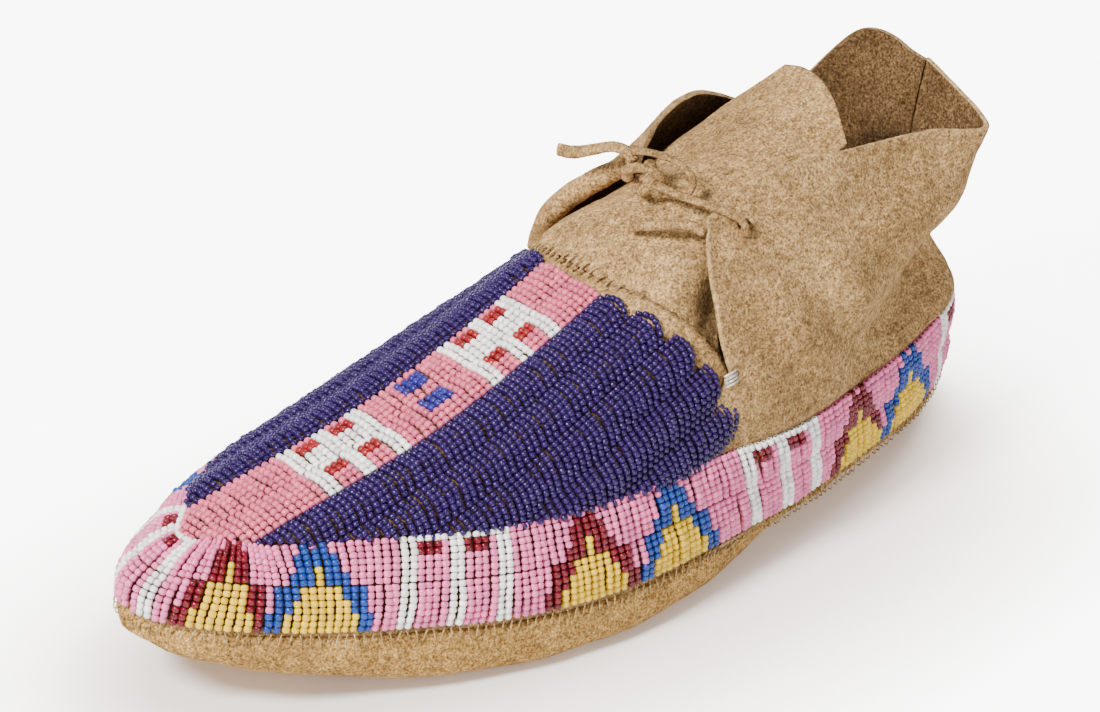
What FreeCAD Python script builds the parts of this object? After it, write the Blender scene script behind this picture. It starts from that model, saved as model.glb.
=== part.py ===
"""Left moccasin of tanned hide on a rawhide sole, with a thong tie and lane-stitched beadwork.

Frame: +Z up, toe towards -Y, wearer's left (the outer side of the foot) towards +X.
The origin lies on the floor, midway between the toe and heel tips.
"""

import FreeCAD
import Part
import math
import os

Vector = FreeCAD.Vector

# ---------------------------------------------------------------- driving dimensions

DIMENSIONS = (
    ("shoe_length", 265.0),
    ("outer_half_width", 53.0),
    ("inner_half_width", 43.5),
    ("height_scale", 1.0),
    ("rawhide_thickness", 3.2),
    ("hide_thickness", 1.7),
    ("tongue_thickness", 1.5),
    ("floor_trim", 0.8),
    ("bead_thickness", 2.0),
    ("clearance", 0.35),
    ("lane_gap", 0.5),
    ("band_height", 25.0),
    ("stripe_width", 23.0),
    ("thong_radius", 1.4),
    ("eyelet_radius", 2.1),
    ("stopper_radius", 2.8),
    ("stitch_radius", 0.45),
    ("sole_stitch_pitch", 6.0),
    ("seam_stitch_pitch", 5.0),
    ("roll_gap", 1.3),
    ("tongue_fold_gap", 1.2),
)

doc = FreeCAD.newDocument("moccasin")
sheet = doc.addObject("Spreadsheet::Sheet", "dims")
for row, (alias, value) in enumerate(DIMENSIONS, start=1):
    sheet.set(f"A{row}", alias)
    sheet.set(f"B{row}", str(value))
    sheet.setAlias(f"B{row}", alias)
doc.recompute()
dim = {alias: float(sheet.get(alias)) for alias, _ in DIMENSIONS}

NOMINAL_LENGTH, NOMINAL_OUTER, NOMINAL_INNER = 265.0, 53.0, 43.5
TOE_Y, HEEL_Y = -dim["shoe_length"] / 2, dim["shoe_length"] / 2
OUTER, INNER = 1, -1


def at(x, y, z):
    """A point given at nominal size, scaled to the driving dimensions."""
    wide = (
        dim["outer_half_width"] / NOMINAL_OUTER if x > 0 else dim["inner_half_width"] / NOMINAL_INNER
    )
    return Vector(x * wide, y * dim["shoe_length"] / NOMINAL_LENGTH, z * dim["height_scale"])


# ---------------------------------------------------------------- curves of the shoe


def along(knots, t):
    """Smooth curve through (t, value) knots, level beyond its ends."""
    if t <= knots[0][0]:
        return knots[0][1]
    if t >= knots[-1][0]:
        return knots[-1][1]
    last = len(knots) - 1
    i = max(k for k in range(last) if knots[k][0] <= t)

    def slope(k):
        (t_a, v_a), (t_b, v_b) = knots[max(k - 1, 0)], knots[min(k + 1, last)]
        return (v_b - v_a) * (1.0 / (t_b - t_a))

    (t0, v0), (t1, v1) = knots[i], knots[i + 1]
    h = t1 - t0
    s = (t - t0) / h
    return (
        v0 * (2 * s**3 - 3 * s * s + 1)
        + slope(i) * ((s**3 - 2 * s * s + s) * h)
        + v1 * (3 * s * s - 2 * s**3)
        + slope(i + 1) * ((s**3 - s * s) * h)
    )


# Every knot is (share of the length from toe to heel, value). Half widths are shares of the
# half width at the ball of the foot, and the heights are in millimetres above the floor.
OUTER_SIDE = (
    (0, 0), (0.023, 0.26), (0.06, 0.43), (0.121, 0.60), (0.208, 0.76), (0.309, 0.91), (0.423, 1.0),
    (0.536, 0.97), (0.668, 0.85), (0.781, 0.72), (0.883, 0.58), (0.966, 0.33), (1, 0),
)
INNER_SIDE = (
    (0, 0), (0.023, 0.28), (0.072, 0.52), (0.16, 0.80), (0.27, 0.965), (0.385, 1.0), (0.536, 0.92),
    (0.668, 0.83), (0.79, 0.78), (0.89, 0.68), (0.966, 0.42), (1, 0),
)
RIDGE_X = ((0, -5), (0.12, -2.5), (0.27, 0), (0.42, 0.5), (0.6, 0), (1, 0))
STRIPE_SHIFT = ((0.1, 2.5), (0.33, 4), (0.535, 0))
SEAM_HEIGHT = ((0, 24), (0.08, 22), (0.22, 17.2), (0.33, 14), (0.55, 12), (0.7, 9.5), (0.8, 10), (1, 12.5))
SOLE_HEIGHT = (
    (0, 21), (0.02, 17.8), (0.08, 11.8), (0.19, 4.2), (0.3, 0.6), (0.4, 0), (0.54, 0), (0.68, 2),
    (0.8, 1.6), (0.9, 0), (0.95, 0.5), (1, 3),
)
RIDGE_HEIGHT = (
    (0, 24), (0.012, 32.5), (0.045, 38.5), (0.12, 44.5), (0.27, 54), (0.42, 64.5), (0.535, 73.5), (0.63, 84),
)
SECTION_FULLNESS = ((0.3, 2.8), (0.6, 3.3))
SECTION_SHOULDER = 1.9
SOLE_EDGE_POWER = ((0, 10), (0.53, 10), (0.68, 5), (1, 5))
SOLE_BULGE = ((0, 0.14), (0.3, 0.2), (0.53, 0.17), (0.66, 0.03), (1, 0.03))
SOLE_TIP_SHARE, SOLE_DISH_POWER = 0.004, 4
TOE_CENTRE_Y = -102.0
# The rear edge of the vamp: its place at the ridge, and how far back it runs on the way to the sole.
REAR_MIDDLE_Y, REAR_SLANT, REAR_POWER = 8.0, 22.0, 2.3


def length_share(y):
    return (y - TOE_Y) / dim["shoe_length"]


def ridge_x(y):
    return along(RIDGE_X, length_share(y))


def stripe_x(y):
    return ridge_x(y) + along(STRIPE_SHIFT, length_share(y))


def seam_z(y):
    return along(SEAM_HEIGHT, length_share(y)) * dim["height_scale"]


def half_width(y, side):
    """Distance from the ridge line to the sole seam. Squares are blended, so both tips are round."""
    knots = OUTER_SIDE if side > 0 else INNER_SIDE
    widest = dim["outer_half_width"] if side > 0 else dim["inner_half_width"]
    return widest * math.sqrt(max(0.0, along([(t, w * w) for t, w in knots], length_share(y))))


def seam_point(y, side):
    return Vector(ridge_x(y) + side * half_width(y, side), y, seam_z(y))


def vamp_z(x, y):
    """Height of the hide over the forefoot."""
    across = x - ridge_x(y)
    share = min(1.0, abs(across) / max(half_width(y, across), 1e-6))
    rise = along(RIDGE_HEIGHT, length_share(y)) * dim["height_scale"] - seam_z(y)
    return seam_z(y) + rise * (1 - share ** along(SECTION_FULLNESS, length_share(y))) ** (
        1 / SECTION_SHOULDER
    )


def vamp_point(x, y):
    return Vector(x, y, vamp_z(x, y))


def steps(start, end, count):
    """count numbers from start to end."""
    return [start + (end - start) * i / (count - 1) for i in range(count)]


def eased(count, margin):
    """Numbers from margin to 1 - margin, crowded towards both ends."""
    return [margin + (1 - 2 * margin) * (1 - math.cos(math.pi * s)) / 2 for s in steps(0, 1, count)]


# ---------------------------------------------------------------- ankle surfaces

# Columns run from the throat to the heel seam, and each rises from the sole seam to the collar.
# The lowest point of each column comes from the seam itself.
OUTER_QUARTER = (
    (31.5, (49, 29, 36), (43, 24.5, 57), (33.5, 26, 74), (21, 34, 88)),
    (49, (47, 48, 36), (43, 48, 60), (33, 52, 80), (20, 54, 94)),
    (75, (41, 75, 36), (39, 77, 58), (33, 81, 77), (23, 85, 93)),
    (98, (35, 98, 34), (33, 99, 55), (31, 104, 73), (25, 108, 91)),
    (121, (22.5, 121.5, 40), (19, 119, 54), (24, 122, 68), (28, 127, 88)),
    (132.5, (0, 129, 40), (0, 124.5, 54), (0, 127, 71), (0, 132, 95)),
)
INNER_QUARTER = (
    (31.5, (-40.5, 30, 36), (-38.5, 27, 57), (-31, 31, 73), (-15, 41, 88)),
    (49, (-40.5, 48, 36), (-41, 48, 58), (-37, 54, 75), (-27, 60, 91)),
    (75, (-38, 75, 36), (-40, 76, 56), (-40, 79, 73), (-33, 80, 90)),
    (98, (-34, 98, 34), (-35, 99, 55), (-37, 102, 67), (-35, 108, 77)),
    (121, (-22.5, 121.5, 40), (-21, 119, 54), (-25, 122, 72), (-22, 128, 97)),
    (132.5, (0, 129, 40), (0, 124.5, 54), (0, 127, 71), (0, 132, 95)),
)
# Rows run from the vamp seam to the free tip, each from the inner edge to the outer edge.
TONGUE = (
    ((-36, 27, 56), (-22, 13, 70), (0, 8.5, 73.8), (27, 14, 68), (39, 25, 55)),
    ((-34, 33, 61), (-20, 24, 74), (0, 20, 82), (24, 24, 77), (34, 31, 65)),
    ((-28, 44, 71), (-16, 38, 81), (0, 34, 87), (18, 36, 84), (30, 42, 78)),
    ((-26, 60, 80), (-16, 58, 88), (0, 57, 93), (14, 57, 92), (24, 58, 89)),
    ((-23, 76, 88), (-14, 77, 94), (0, 77, 98), (12, 77, 97), (22, 77, 93)),
    ((-12, 91, 102), (-6, 92, 103), (2, 91, 103), (12, 87, 101), (22, 82, 95)),
)


def quarter_columns(quarter, side):
    lift = Vector(0, 0, dim["clearance"])
    return [
        [seam_point(column[0] * dim["shoe_length"] / NOMINAL_LENGTH, side) + lift]
        + [at(*p) for p in column[1:]]
        for column in quarter
    ]


def net_point(net, s, t):
    """A point of the smooth surface through a net of points: s runs over the rows, t along them."""
    across = [
        (i / (len(net) - 1), along([(j / (len(row) - 1), p) for j, p in enumerate(row)], t))
        for i, row in enumerate(net)
    ]
    return along(across, s)


OUTER_NET = quarter_columns(OUTER_QUARTER, OUTER)
INNER_NET = quarter_columns(INNER_QUARTER, INNER)
TONGUE_NET = [[at(*p) for p in row] for row in TONGUE]


# ---------------------------------------------------------------- building helpers


def offset_grid(grid, distance):
    """The grid moved along its normals, row direction cross column direction."""
    rows, columns = len(grid), len(grid[0])
    moved = []
    for i in range(rows):
        line = []
        for j in range(columns):
            down = grid[min(i + 1, rows - 1)][j] - grid[max(i - 1, 0)][j]
            over = grid[i][min(j + 1, columns - 1)] - grid[i][max(j - 1, 0)]
            normal = down.cross(over)
            normal.normalize()
            line.append(grid[i][j] + normal * distance)
        moved.append(line)
    return moved


def smooth_surface(grid):
    surface = Part.BSplineSurface()
    surface.interpolate(grid)
    return surface


def sheet_solid(top, bottom):
    """A closed solid between two grids of the same size, walled in along their four edges."""
    pair = smooth_surface(top), smooth_surface(bottom)
    faces = [s.toShape() for s in pair]
    (u0, u1, v0, v1) = pair[0].bounds()
    (a0, a1, b0, b1) = pair[1].bounds()
    for mine, other in ((u0, a0), (u1, a1)):
        faces.append(Part.makeRuledSurface(pair[0].uIso(mine).toShape(), pair[1].uIso(other).toShape()))
    for mine, other in ((v0, b0), (v1, b1)):
        faces.append(Part.makeRuledSurface(pair[0].vIso(mine).toShape(), pair[1].vIso(other).toShape()))
    shell = Part.makeShell(faces)
    shell.sewShape()
    solid = Part.makeSolid(shell)
    if solid.Volume < 0:
        solid.reverse()
    return solid


def add_feature(label, shape):
    feature = doc.addObject("Part::Feature", label)
    feature.Label = label
    feature.Shape = shape
    feature.Placement = FreeCAD.Placement()
    return feature


def add_hide(label, grid, thickness):
    """A sheet of hide whose outer surface is the grid. A negative thickness turns it over."""
    return add_feature(label, sheet_solid(grid, offset_grid(grid, -thickness)))


# ---------------------------------------------------------------- sole


def sole_surface_point(share, y, lift):
    """share runs from -1 at the inner edge to 1 at the outer edge."""
    side = OUTER if share > 0 else INNER
    low = along(SOLE_HEIGHT, length_share(y)) * dim["height_scale"] - dim["floor_trim"]
    upturn = abs(share) ** along(SOLE_EDGE_POWER, length_share(y))
    z = low + (seam_z(y) - low) * upturn
    spread = 1 + along(SOLE_BULGE, length_share(y)) * (1 - upturn) * abs(share)
    return Vector(ridge_x(y) + share * half_width(y, side) * spread, y, z + lift)


def build_sole():
    """A dished rawhide blank, trimmed flat where it stands on the floor."""
    stations = [TOE_Y + dim["shoe_length"] * s for s in eased(31, SOLE_TIP_SHARE)]
    shares = [math.sin(a) for a in steps(-math.pi / 2, math.pi / 2, 25)]
    under = [[sole_surface_point(share, y, 0) for share in shares] for y in stations]
    thick = dim["rawhide_thickness"]
    upper = []
    for line, y in zip(under, stations):
        narrow = min(thick / max(half_width(y, OUTER), half_width(y, INNER), thick * 2), 0.5)
        middle = ridge_x(y)
        upper.append(
            [
                Vector(middle + (p.x - middle) * (1 - narrow), p.y, 0)
                + Vector(0, 0, p.z + thick * (1 - abs(share) ** SOLE_DISH_POWER))
                for p, share in zip(line, shares)
            ]
        )
    blank = add_feature("rawhide_blank", sheet_solid(under, upper))
    floor = doc.addObject("Part::Box", "floor_cutter")
    floor.setExpression("Length", "dims.shoe_length * 2")
    floor.setExpression("Width", "dims.shoe_length * 2")
    floor.setExpression("Height", "dims.rawhide_thickness * 4")
    floor.setExpression("Placement.Base.x", "-dims.shoe_length")
    floor.setExpression("Placement.Base.y", "-dims.shoe_length")
    floor.setExpression("Placement.Base.z", "-dims.rawhide_thickness * 4")
    sole = doc.addObject("Part::Cut", "rawhide_sole")
    sole.Base, sole.Tool = blank, floor
    return sole


# ---------------------------------------------------------------- vamp and its beadwork


def section_x(y, side, count):
    """x of points from the ridge down to the seam, crowded where the wall is steep."""
    reach = half_width(y, side)
    return [ridge_x(y) + side * reach * math.sin(a) for a in steps(0, math.pi / 2, count)]


def arc_x(y, side, distance, count=60):
    """x of the point that lies a distance along the section from the ridge."""
    xs = section_x(y, side, count)
    gone = 0.0
    for a, b in zip(xs, xs[1:]):
        step = (vamp_point(b, y) - vamp_point(a, y)).Length
        if gone + step >= distance:
            return a + (b - a) * (distance - gone) / step
        gone += step
    return xs[-1]


def section_length(y, side, count=60):
    points = [vamp_point(x, y) for x in section_x(y, side, count)]
    return sum((b - a).Length for a, b in zip(points, points[1:]))


def rear_y(x):
    """The vamp's rear edge, which slants back towards the sole."""
    reach = dim["outer_half_width"] if x > 0 else dim["inner_half_width"]
    return REAR_MIDDLE_Y + REAR_SLANT * (abs(x) / reach) ** REAR_POWER


# The hide keeps clear of the toe tip, and it is thinned where its wall stands on the sole seam.
TOE_CUT, TOE_CROWDING = 0.03, 1.5
THINNED_HEIGHT, TOE_INWARD = 6.0, 0.6


def build_vamp_hide():
    stations = [s**TOE_CROWDING for s in steps(TOE_CUT, 1, 27)]
    angles = steps(-math.pi / 2, math.pi / 2, 31)
    inset = dim["clearance"]
    grid = []
    for s in stations:
        line = []
        for angle in angles:
            share = math.sin(angle)
            reach = dim["outer_half_width"] if share > 0 else dim["inner_half_width"]
            y = TOE_Y + (rear_y(share * reach) - TOE_Y) * s
            side = OUTER if share > 0 else INNER
            x = ridge_x(y) + share * (half_width(y, side) - inset)
            line.append(Vector(x, y, vamp_z(x, y) + inset))
        grid.append(line)
    middle = Vector(ridge_x(TOE_Y), TOE_CENTRE_Y, 0)
    inner = []
    for line in grid:
        inner.append([])
        for p in line:
            below = Vector(0, 0, 0)
            if p.z > seam_z(p.y) + THINNED_HEIGHT:
                below = Vector(0, 0, -dim["hide_thickness"])
            inward = Vector(ridge_x(p.y) - p.x, max(0.0, middle.y - p.y) * TOE_INWARD, 0)
            if inward.Length > dim["hide_thickness"]:
                inward.normalize()
                inward = inward * dim["hide_thickness"]
            inner[-1].append(p + inward + below)
    return add_feature("vamp_hide", sheet_solid(grid, inner))


# The wall changes from the vamp to the quarter between these two places.
VAMP_WALL_END_Y, QUARTER_WALL_START_Y = 4.0, 30.0
HALVINGS = 24


def wall_point(y, side, height):
    """The outside of the shoe, a distance up from the sole seam, anywhere round the shoe."""
    start = seam_point(y, side)
    centre_y = max(y, TOE_CENTRE_Y)
    centre = Vector(ridge_x(centre_y), centre_y, 0)
    gone, last = 0.0, start
    over_vamp = start
    for share in steps(0, 1, 80)[1:]:
        r = 1 - math.cos(share * math.pi / 2)
        x, yy = start.x + (centre.x - start.x) * r, start.y + (centre.y - start.y) * r
        here = vamp_point(x, yy)
        step = (here - last).Length
        if gone + step >= height:
            over_vamp = last + (here - last) * ((height - gone) / step)
            break
        gone, last = gone + step, here
    back = min(1.0, max(0.0, (y - VAMP_WALL_END_Y) / (QUARTER_WALL_START_Y - VAMP_WALL_END_Y)))
    back = back * back * (3 - 2 * back)
    if back == 0:
        return over_vamp
    over_quarter = quarter_wall_point(y, side, height)
    return over_vamp * (1 - back) + over_quarter * back


def quarter_wall_point(y, side, height):
    net = OUTER_NET if side > 0 else INNER_NET
    low, high = 0.0, 1.0
    for _ in range(HALVINGS):
        s = (low + high) / 2
        if net_point(net, s, 0).y < y:
            low = s
        else:
            high = s
    gone, last = 0.0, net_point(net, low, 0)
    for t in steps(0, 1, 60)[1:]:
        here = net_point(net, low, t)
        step = (here - last).Length
        if gone + step >= height:
            return last + (here - last) * ((height - gone) / step)
        gone, last = gone + step, here
    return last


BAND_END_SHARE = 0.004
BAND_CLEARANCES = 3.4
LANE_FOOT = 1.6
BAND_FRONT_TURN = 0.35 * math.pi


def band_grid(low, high, count=97, rows=5):
    """The wall round the whole shoe, from the heel seam along the outer side and back."""
    grid = []
    for u in steps(BAND_END_SHARE, 1 - BAND_END_SHARE, count):
        y = HEEL_Y * math.cos(2 * math.pi * u)
        side = OUTER if u < 0.5 else INNER
        grid.append([wall_point(y, side, h) for h in steps(low, high, rows)])
    return grid


def build_bands():
    """Two lanes, one above the other, from just above the sole seam."""
    middle = dim["band_height"] / 2
    gap = dim["lane_gap"] / 2
    lift = dim["clearance"] * BAND_CLEARANCES
    for label, low, high in (
        ("band_lower_lane", LANE_FOOT, middle - gap),
        ("band_upper_lane", middle + gap, dim["band_height"]),
    ):
        grid = band_grid(low, high)
        near = offset_grid(grid, -lift)
        far = offset_grid(grid, -lift - dim["bead_thickness"])
        add_feature(label, sheet_solid(near, far))


def band_edge(side):
    """The band's upper edge round the front of the shoe, as (y, distance from the ridge)."""
    height = dim["band_height"] + dim["lane_gap"]
    points = [wall_point(HEEL_Y * math.cos(a), side, height) for a in steps(BAND_FRONT_TURN, math.pi, 60)]
    return sorted((p.y, abs(p.x - ridge_x(p.y))) for p in points)


BAND_EDGE = {side: band_edge(side) for side in (OUTER, INNER)}


def band_reach(y, side):
    """How far the band's upper edge lies from the ridge, measured across at y."""
    rows = BAND_EDGE[side]
    if y <= rows[0][0]:
        return 0.0
    for (y0, r0), (y1, r1) in zip(rows, rows[1:]):
        if y0 <= y <= y1:
            return r0 + (r1 - r0) * (y - y0) / max(y1 - y0, 1e-6)
    return rows[-1][1]


def lane_x(y, offset):
    """x of a lane line that keeps its distance from the stripe's middle, measured on the hide."""
    shift = stripe_x(y) - ridge_x(y)
    arc = offset + shift
    return arc_x(y, OUTER if arc > 0 else INNER, abs(arc))


def lane_edge(y, offset):
    """x of a lane's edge, held back to the band where the lane runs into it."""
    across = lane_x(y, offset) - ridge_x(y)
    side = OUTER if across > 0 else INNER
    reach = band_reach(y, side) - 3 * dim["lane_gap"]
    return ridge_x(y) + side * max(0.0, min(abs(across), reach))


LANE_REAR_INSET = 2.0
FIELD_SLACK = 3.0
FIELD_GAUGE_SHARE, FIELD_GAUGE_INSET = 0.8, 4.0


def build_lane(label, near, far):
    """One bead lane between two distances from the middle of the stripe. It tapers into the band."""
    gap = dim["lane_gap"] / 2
    near, far = near + gap, far - gap
    front = 0.0
    while lane_edge(front - 1, far) - lane_edge(front - 1, near) > 2 * dim["bead_thickness"]:
        front -= 1.0
    grid = []
    for s in steps(0, 1, 15):
        line = []
        for t in steps(0, 1, 5):
            rear = rear_y(lane_x(0, near + (far - near) * t)) - LANE_REAR_INSET
            y = front + (rear - front) * s
            a, b = lane_edge(y, near), lane_edge(y, far)
            line.append(vamp_point(a + (b - a) * t, y) + Vector(0, 0, dim["clearance"]))
        grid.append(line)
    near_side = offset_grid(grid, -dim["clearance"])
    far_side = offset_grid(grid, -dim["clearance"] - dim["bead_thickness"])
    return add_feature(label, sheet_solid(near_side, far_side))


def build_vamp_beadwork():
    half_stripe = dim["stripe_width"] / 2
    build_lane("stripe_outer_lane", 0, half_stripe)
    build_lane("stripe_inner_lane", -half_stripe, 0)
    for side, word, count in ((OUTER, "outer", 5), (INNER, "inner", 4)):
        y = rear_y(side * dim["outer_half_width"] * FIELD_GAUGE_SHARE) - FIELD_GAUGE_INSET
        free = section_length(y, side) - dim["band_height"] - dim["lane_gap"] - half_stripe
        width = (free - FIELD_SLACK) / count
        for n in range(count):
            edges = half_stripe + n * width, half_stripe + (n + 1) * width
            low, high = sorted(side * e for e in edges)
            build_lane(f"field_{word}_lane_{n + 1}", low, high)


# ---------------------------------------------------------------- quarters and their folding flaps

OUTER_ROLL = at(46.5, 23, 57), at(28, 116, 89)
INNER_ROLL = at(-45.0, 26, 57), at(-42, 112, 84)
OUTER_WAY, INNER_WAY = Vector(1, 0, 0.25), Vector(-1, 0, 0.25)
# The quarters stop just short of each other at the heel, and a flap ends where it gets this low.
HEEL_SEAM_SHARE = 0.985
FLAP_END_HEIGHT, FLAP_STEP = 3.0, 0.01


def roll_height(point, roll, way):
    """Signed distance above the plane through the roll line and the outward direction."""
    along_line = roll[1] - roll[0]
    up = way.cross(along_line)
    if up.z < 0:
        up = up * -1
    up.normalize()
    return (point - roll[0]).dot(up)


def roll_share(net, s, roll, way, height):
    """How far up the column s the hide reaches a height above the roll plane, at most 1."""
    low, high = 0.0, 1.0
    if roll_height(net_point(net, s, 1), roll, way) < height:
        return 1.0
    for _ in range(HALVINGS):
        t = (low + high) / 2
        if roll_height(net_point(net, s, t), roll, way) < height:
            low = t
        else:
            high = t
    return low


def build_quarter(label, net, roll, way, turn):
    gap = dim["roll_gap"] / 2
    grid = []
    for s in steps(0, HEEL_SEAM_SHARE, 25):
        top = roll_share(net, s, roll, way, -gap)
        grid.append([net_point(net, s, top * t) for t in steps(0, 1, 11)])
    return add_hide(label, grid, turn * dim["hide_thickness"])


def build_flap(label, net, roll, way, turn):
    gap = dim["roll_gap"] / 2
    end = 0.0
    while roll_height(net_point(net, end + FLAP_STEP, 1), roll, way) > gap + FLAP_END_HEIGHT:
        end += FLAP_STEP
    grid = []
    for s in steps(0, end, 17):
        start = roll_share(net, s, roll, way, gap)
        grid.append([net_point(net, s, start + (1 - start) * t) for t in steps(0, 1, 9)])
    return add_hide(label, grid, turn * dim["hide_thickness"])


def add_eyelet(label, flap, centre, way):
    """Cuts the thong's round hole through a flap."""
    flap.Label = label + "_blank"
    punch = doc.addObject("Part::Cylinder", label + "_punch")
    punch.setExpression("Radius", "dims.eyelet_radius")
    punch.setExpression("Height", "dims.stopper_radius * 4")
    turn = FreeCAD.Rotation(Vector(0, 0, 1), way)
    punch.Placement = FreeCAD.Placement(centre - way * (dim["stopper_radius"] * 2 / way.Length), turn)
    cut = doc.addObject("Part::Cut", label + "_cut")
    cut.Base, cut.Tool = flap, punch
    cut.Label = label
    return cut


# ---------------------------------------------------------------- tongue


# Shares of the tongue's net: where it folds, where the vamp seam starts, and the two widths.
TONGUE_FOLD, TONGUE_START = 0.215, 0.03
BASE_WIDTH, FREE_WIDTH = (0.1, 0.86), (0.27, 0.79)
TONGUE_NET_LENGTH = 80


def tongue_grid(rows, columns):
    return [[net_point(TONGUE_NET, s, t) for t in columns] for s in rows]


def build_tongue():
    """One sheet of hide, parted at the line it folds on: the base is sewn down, the rest lifts."""
    gap = dim["tongue_fold_gap"] / 2 / TONGUE_NET_LENGTH
    base = tongue_grid(steps(TONGUE_START, TONGUE_FOLD - gap, 6), steps(*BASE_WIDTH, 17))
    free = tongue_grid(steps(TONGUE_FOLD + gap, 1, 17), steps(*FREE_WIDTH, 9))
    add_hide("tongue_base", base, dim["tongue_thickness"])
    add_hide("tongue", free, dim["tongue_thickness"])


# ---------------------------------------------------------------- thong

KNOT = at(-2, 31, 94.5)
OUTER_EYELET = at(28, 43, 87.5), Vector(0.62, -0.15, 0.77)
INNER_EYELET = at(-24, 48, 83.2), Vector(-0.65, -0.1, 0.75)
# How far the thong stands off a flap: before its hole, past its hole, and at each stopper's middle.
OUTER_BEFORE, INNER_BEFORE, PAST_HOLE = 2.9, 3.4, 2.2
OUTER_STOPPER, INNER_STOPPER = 6.7, 5.8
WRAP_RADII, CORE_RADII = 1.75, 1.7


def add_thong(label, points):
    """A round thong swept along a smooth line. Its radius is a cell of the spreadsheet."""
    line = Part.BSplineCurve()
    line.interpolate([p for p in points])
    path = add_feature(label + "_path", line.toShape())
    ring = doc.addObject("Part::Circle", label + "_ring")
    ring.setExpression("Radius", "dims.thong_radius")
    tangent = line.tangent(line.FirstParameter)[0]
    ring.Placement = FreeCAD.Placement(points[0], FreeCAD.Rotation(Vector(0, 0, 1), tangent))
    sweep = doc.addObject("Part::Sweep", label + "_sweep")
    sweep.Sections = [ring]
    sweep.Spine = (path, ["Edge1"])
    sweep.Solid = True
    sweep.Frenet = False
    sweep.Label = label
    return sweep


def add_stopper(label, centre):
    ball = doc.addObject("Part::Sphere", label + "_ball")
    ball.setExpression("Radius", "dims.stopper_radius")
    ball.Placement = FreeCAD.Placement(centre, FreeCAD.Rotation())
    ball.Label = label
    return ball


def build_thong():
    hole, way = OUTER_EYELET
    out = way / way.Length
    start = at(5, 31.5, 93.2), at(12, 34, 93), at(20, 38.5, 92)
    add_thong("thong_outer_strand", [*start, hole + out * OUTER_BEFORE, hole - out * PAST_HOLE])
    add_stopper("thong_outer_stopper", hole - out * OUTER_STOPPER)
    hole, way = INNER_EYELET
    out = way / way.Length
    start = at(-9.5, 35.5, 92.5), at(-14, 40, 91)
    add_thong("thong_inner_strand", [*start, hole + out * INNER_BEFORE, hole - out * PAST_HOLE])
    add_stopper("thong_inner_stopper", hole - out * INNER_STOPPER)
    add_thong(
        "thong_upper_end",
        [at(-4, 30.5, 99.0), at(-9, 30, 101), at(-20, 30, 98.5), at(-29, 26.5, 93.5)],
    )
    add_thong(
        "thong_lower_end",
        [at(19.5, 29.5, 88.6), at(15, 26, 87.8), at(8, 21.5, 86.2)],
    )
    knot = doc.addObject("Part::Torus", "knot_wrap")
    knot.setExpression("Radius1", f"dims.thong_radius * {WRAP_RADII}")
    knot.setExpression("Radius2", "dims.thong_radius")
    knot.Placement = FreeCAD.Placement(KNOT, FreeCAD.Rotation(Vector(0, 1, 0.3), 62))
    core = doc.addObject("Part::Sphere", "knot_core")
    core.setExpression("Radius", f"dims.thong_radius * {CORE_RADII}")
    core.Placement = FreeCAD.Placement(KNOT, FreeCAD.Rotation())
    fused = doc.addObject("Part::Fuse", "knot_fused")
    fused.Base, fused.Tool = knot, core
    fused.Label = "thong_knot"


# ---------------------------------------------------------------- sewing


SOLE_STITCH, SEAM_STITCH, TONGUE_STITCH = 1.6, 4.0, 3.0
SOLE_STITCH_REACH, SOLE_STITCH_DROP, SOLE_STITCH_LEAN = 2.0, 0.2, 0.12
OUTLINE_LENGTHS = 2.25
HEEL_STITCH_LOW, HEEL_STITCH_HIGH, HEEL_STITCH_LIFT = 30.0, 68.0, 0.5
TONGUE_STITCH_ROW, TONGUE_STITCH_LIFT = 0.045, 0.6
STAY_STITCHES, STAY_STEP = 3, 2.2


def stitch(centre, direction, length):
    direction = Vector(direction)
    direction.normalize()
    start = centre - direction * (length / 2)
    return Part.makeCylinder(dim["stitch_radius"], length, start, direction)


def build_sole_stitches():
    """Sinew whip stitches that hold the upper to the sole, just outside the seam."""
    group = []
    count = int(OUTLINE_LENGTHS * dim["shoe_length"] / dim["sole_stitch_pitch"])
    up = Vector(0, 0, 1)
    out = dim["stitch_radius"] + SOLE_STITCH_REACH
    for n in range(count):
        u = (n + 0.5) / count
        y = HEEL_Y * math.cos(2 * math.pi * u)
        side = OUTER if u < 0.5 else INNER
        here, ahead = wall_point(y, side, 0.0), wall_point(y * 0.995 - 0.1, side, 0.0)
        run = ahead - here
        away = Vector(-run.y, run.x, 0)
        if away.x * side < 0:
            away = away * -1
        away.normalize()
        centre = here + away * out - up * SOLE_STITCH_DROP
        group.append(stitch(centre, up + run * (SOLE_STITCH_LEAN / run.Length), SOLE_STITCH))
    add_feature("sole_seam_stitches", Part.makeCompound(group))


def build_heel_stitches():
    group = []
    height = HEEL_STITCH_LOW
    lift = Vector(0, dim["stitch_radius"] + HEEL_STITCH_LIFT, 0)
    while height < HEEL_STITCH_HIGH:
        p = quarter_wall_point(HEEL_Y, OUTER, height)
        group.append(stitch(p + lift, Vector(1, 0, 0.25), SEAM_STITCH))
        height += dim["seam_stitch_pitch"]
    add_feature("heel_seam_stitches", Part.makeCompound(group))


def build_tongue_stitches():
    group = []
    lift = dim["stitch_radius"] + TONGUE_STITCH_LIFT
    for t in steps(0.12, 0.88, 17):
        here = net_point(TONGUE_NET, TONGUE_STITCH_ROW, t)
        run = net_point(TONGUE_NET, TONGUE_STITCH_ROW * 2, t) - here
        over = net_point(TONGUE_NET, TONGUE_STITCH_ROW, t + 0.01) - here
        normal = over.cross(run)
        normal.normalize()
        group.append(stitch(here - normal * lift, run + over * 0.4, TONGUE_STITCH))
    add_feature("tongue_seam_stitches", Part.makeCompound(group))


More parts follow.
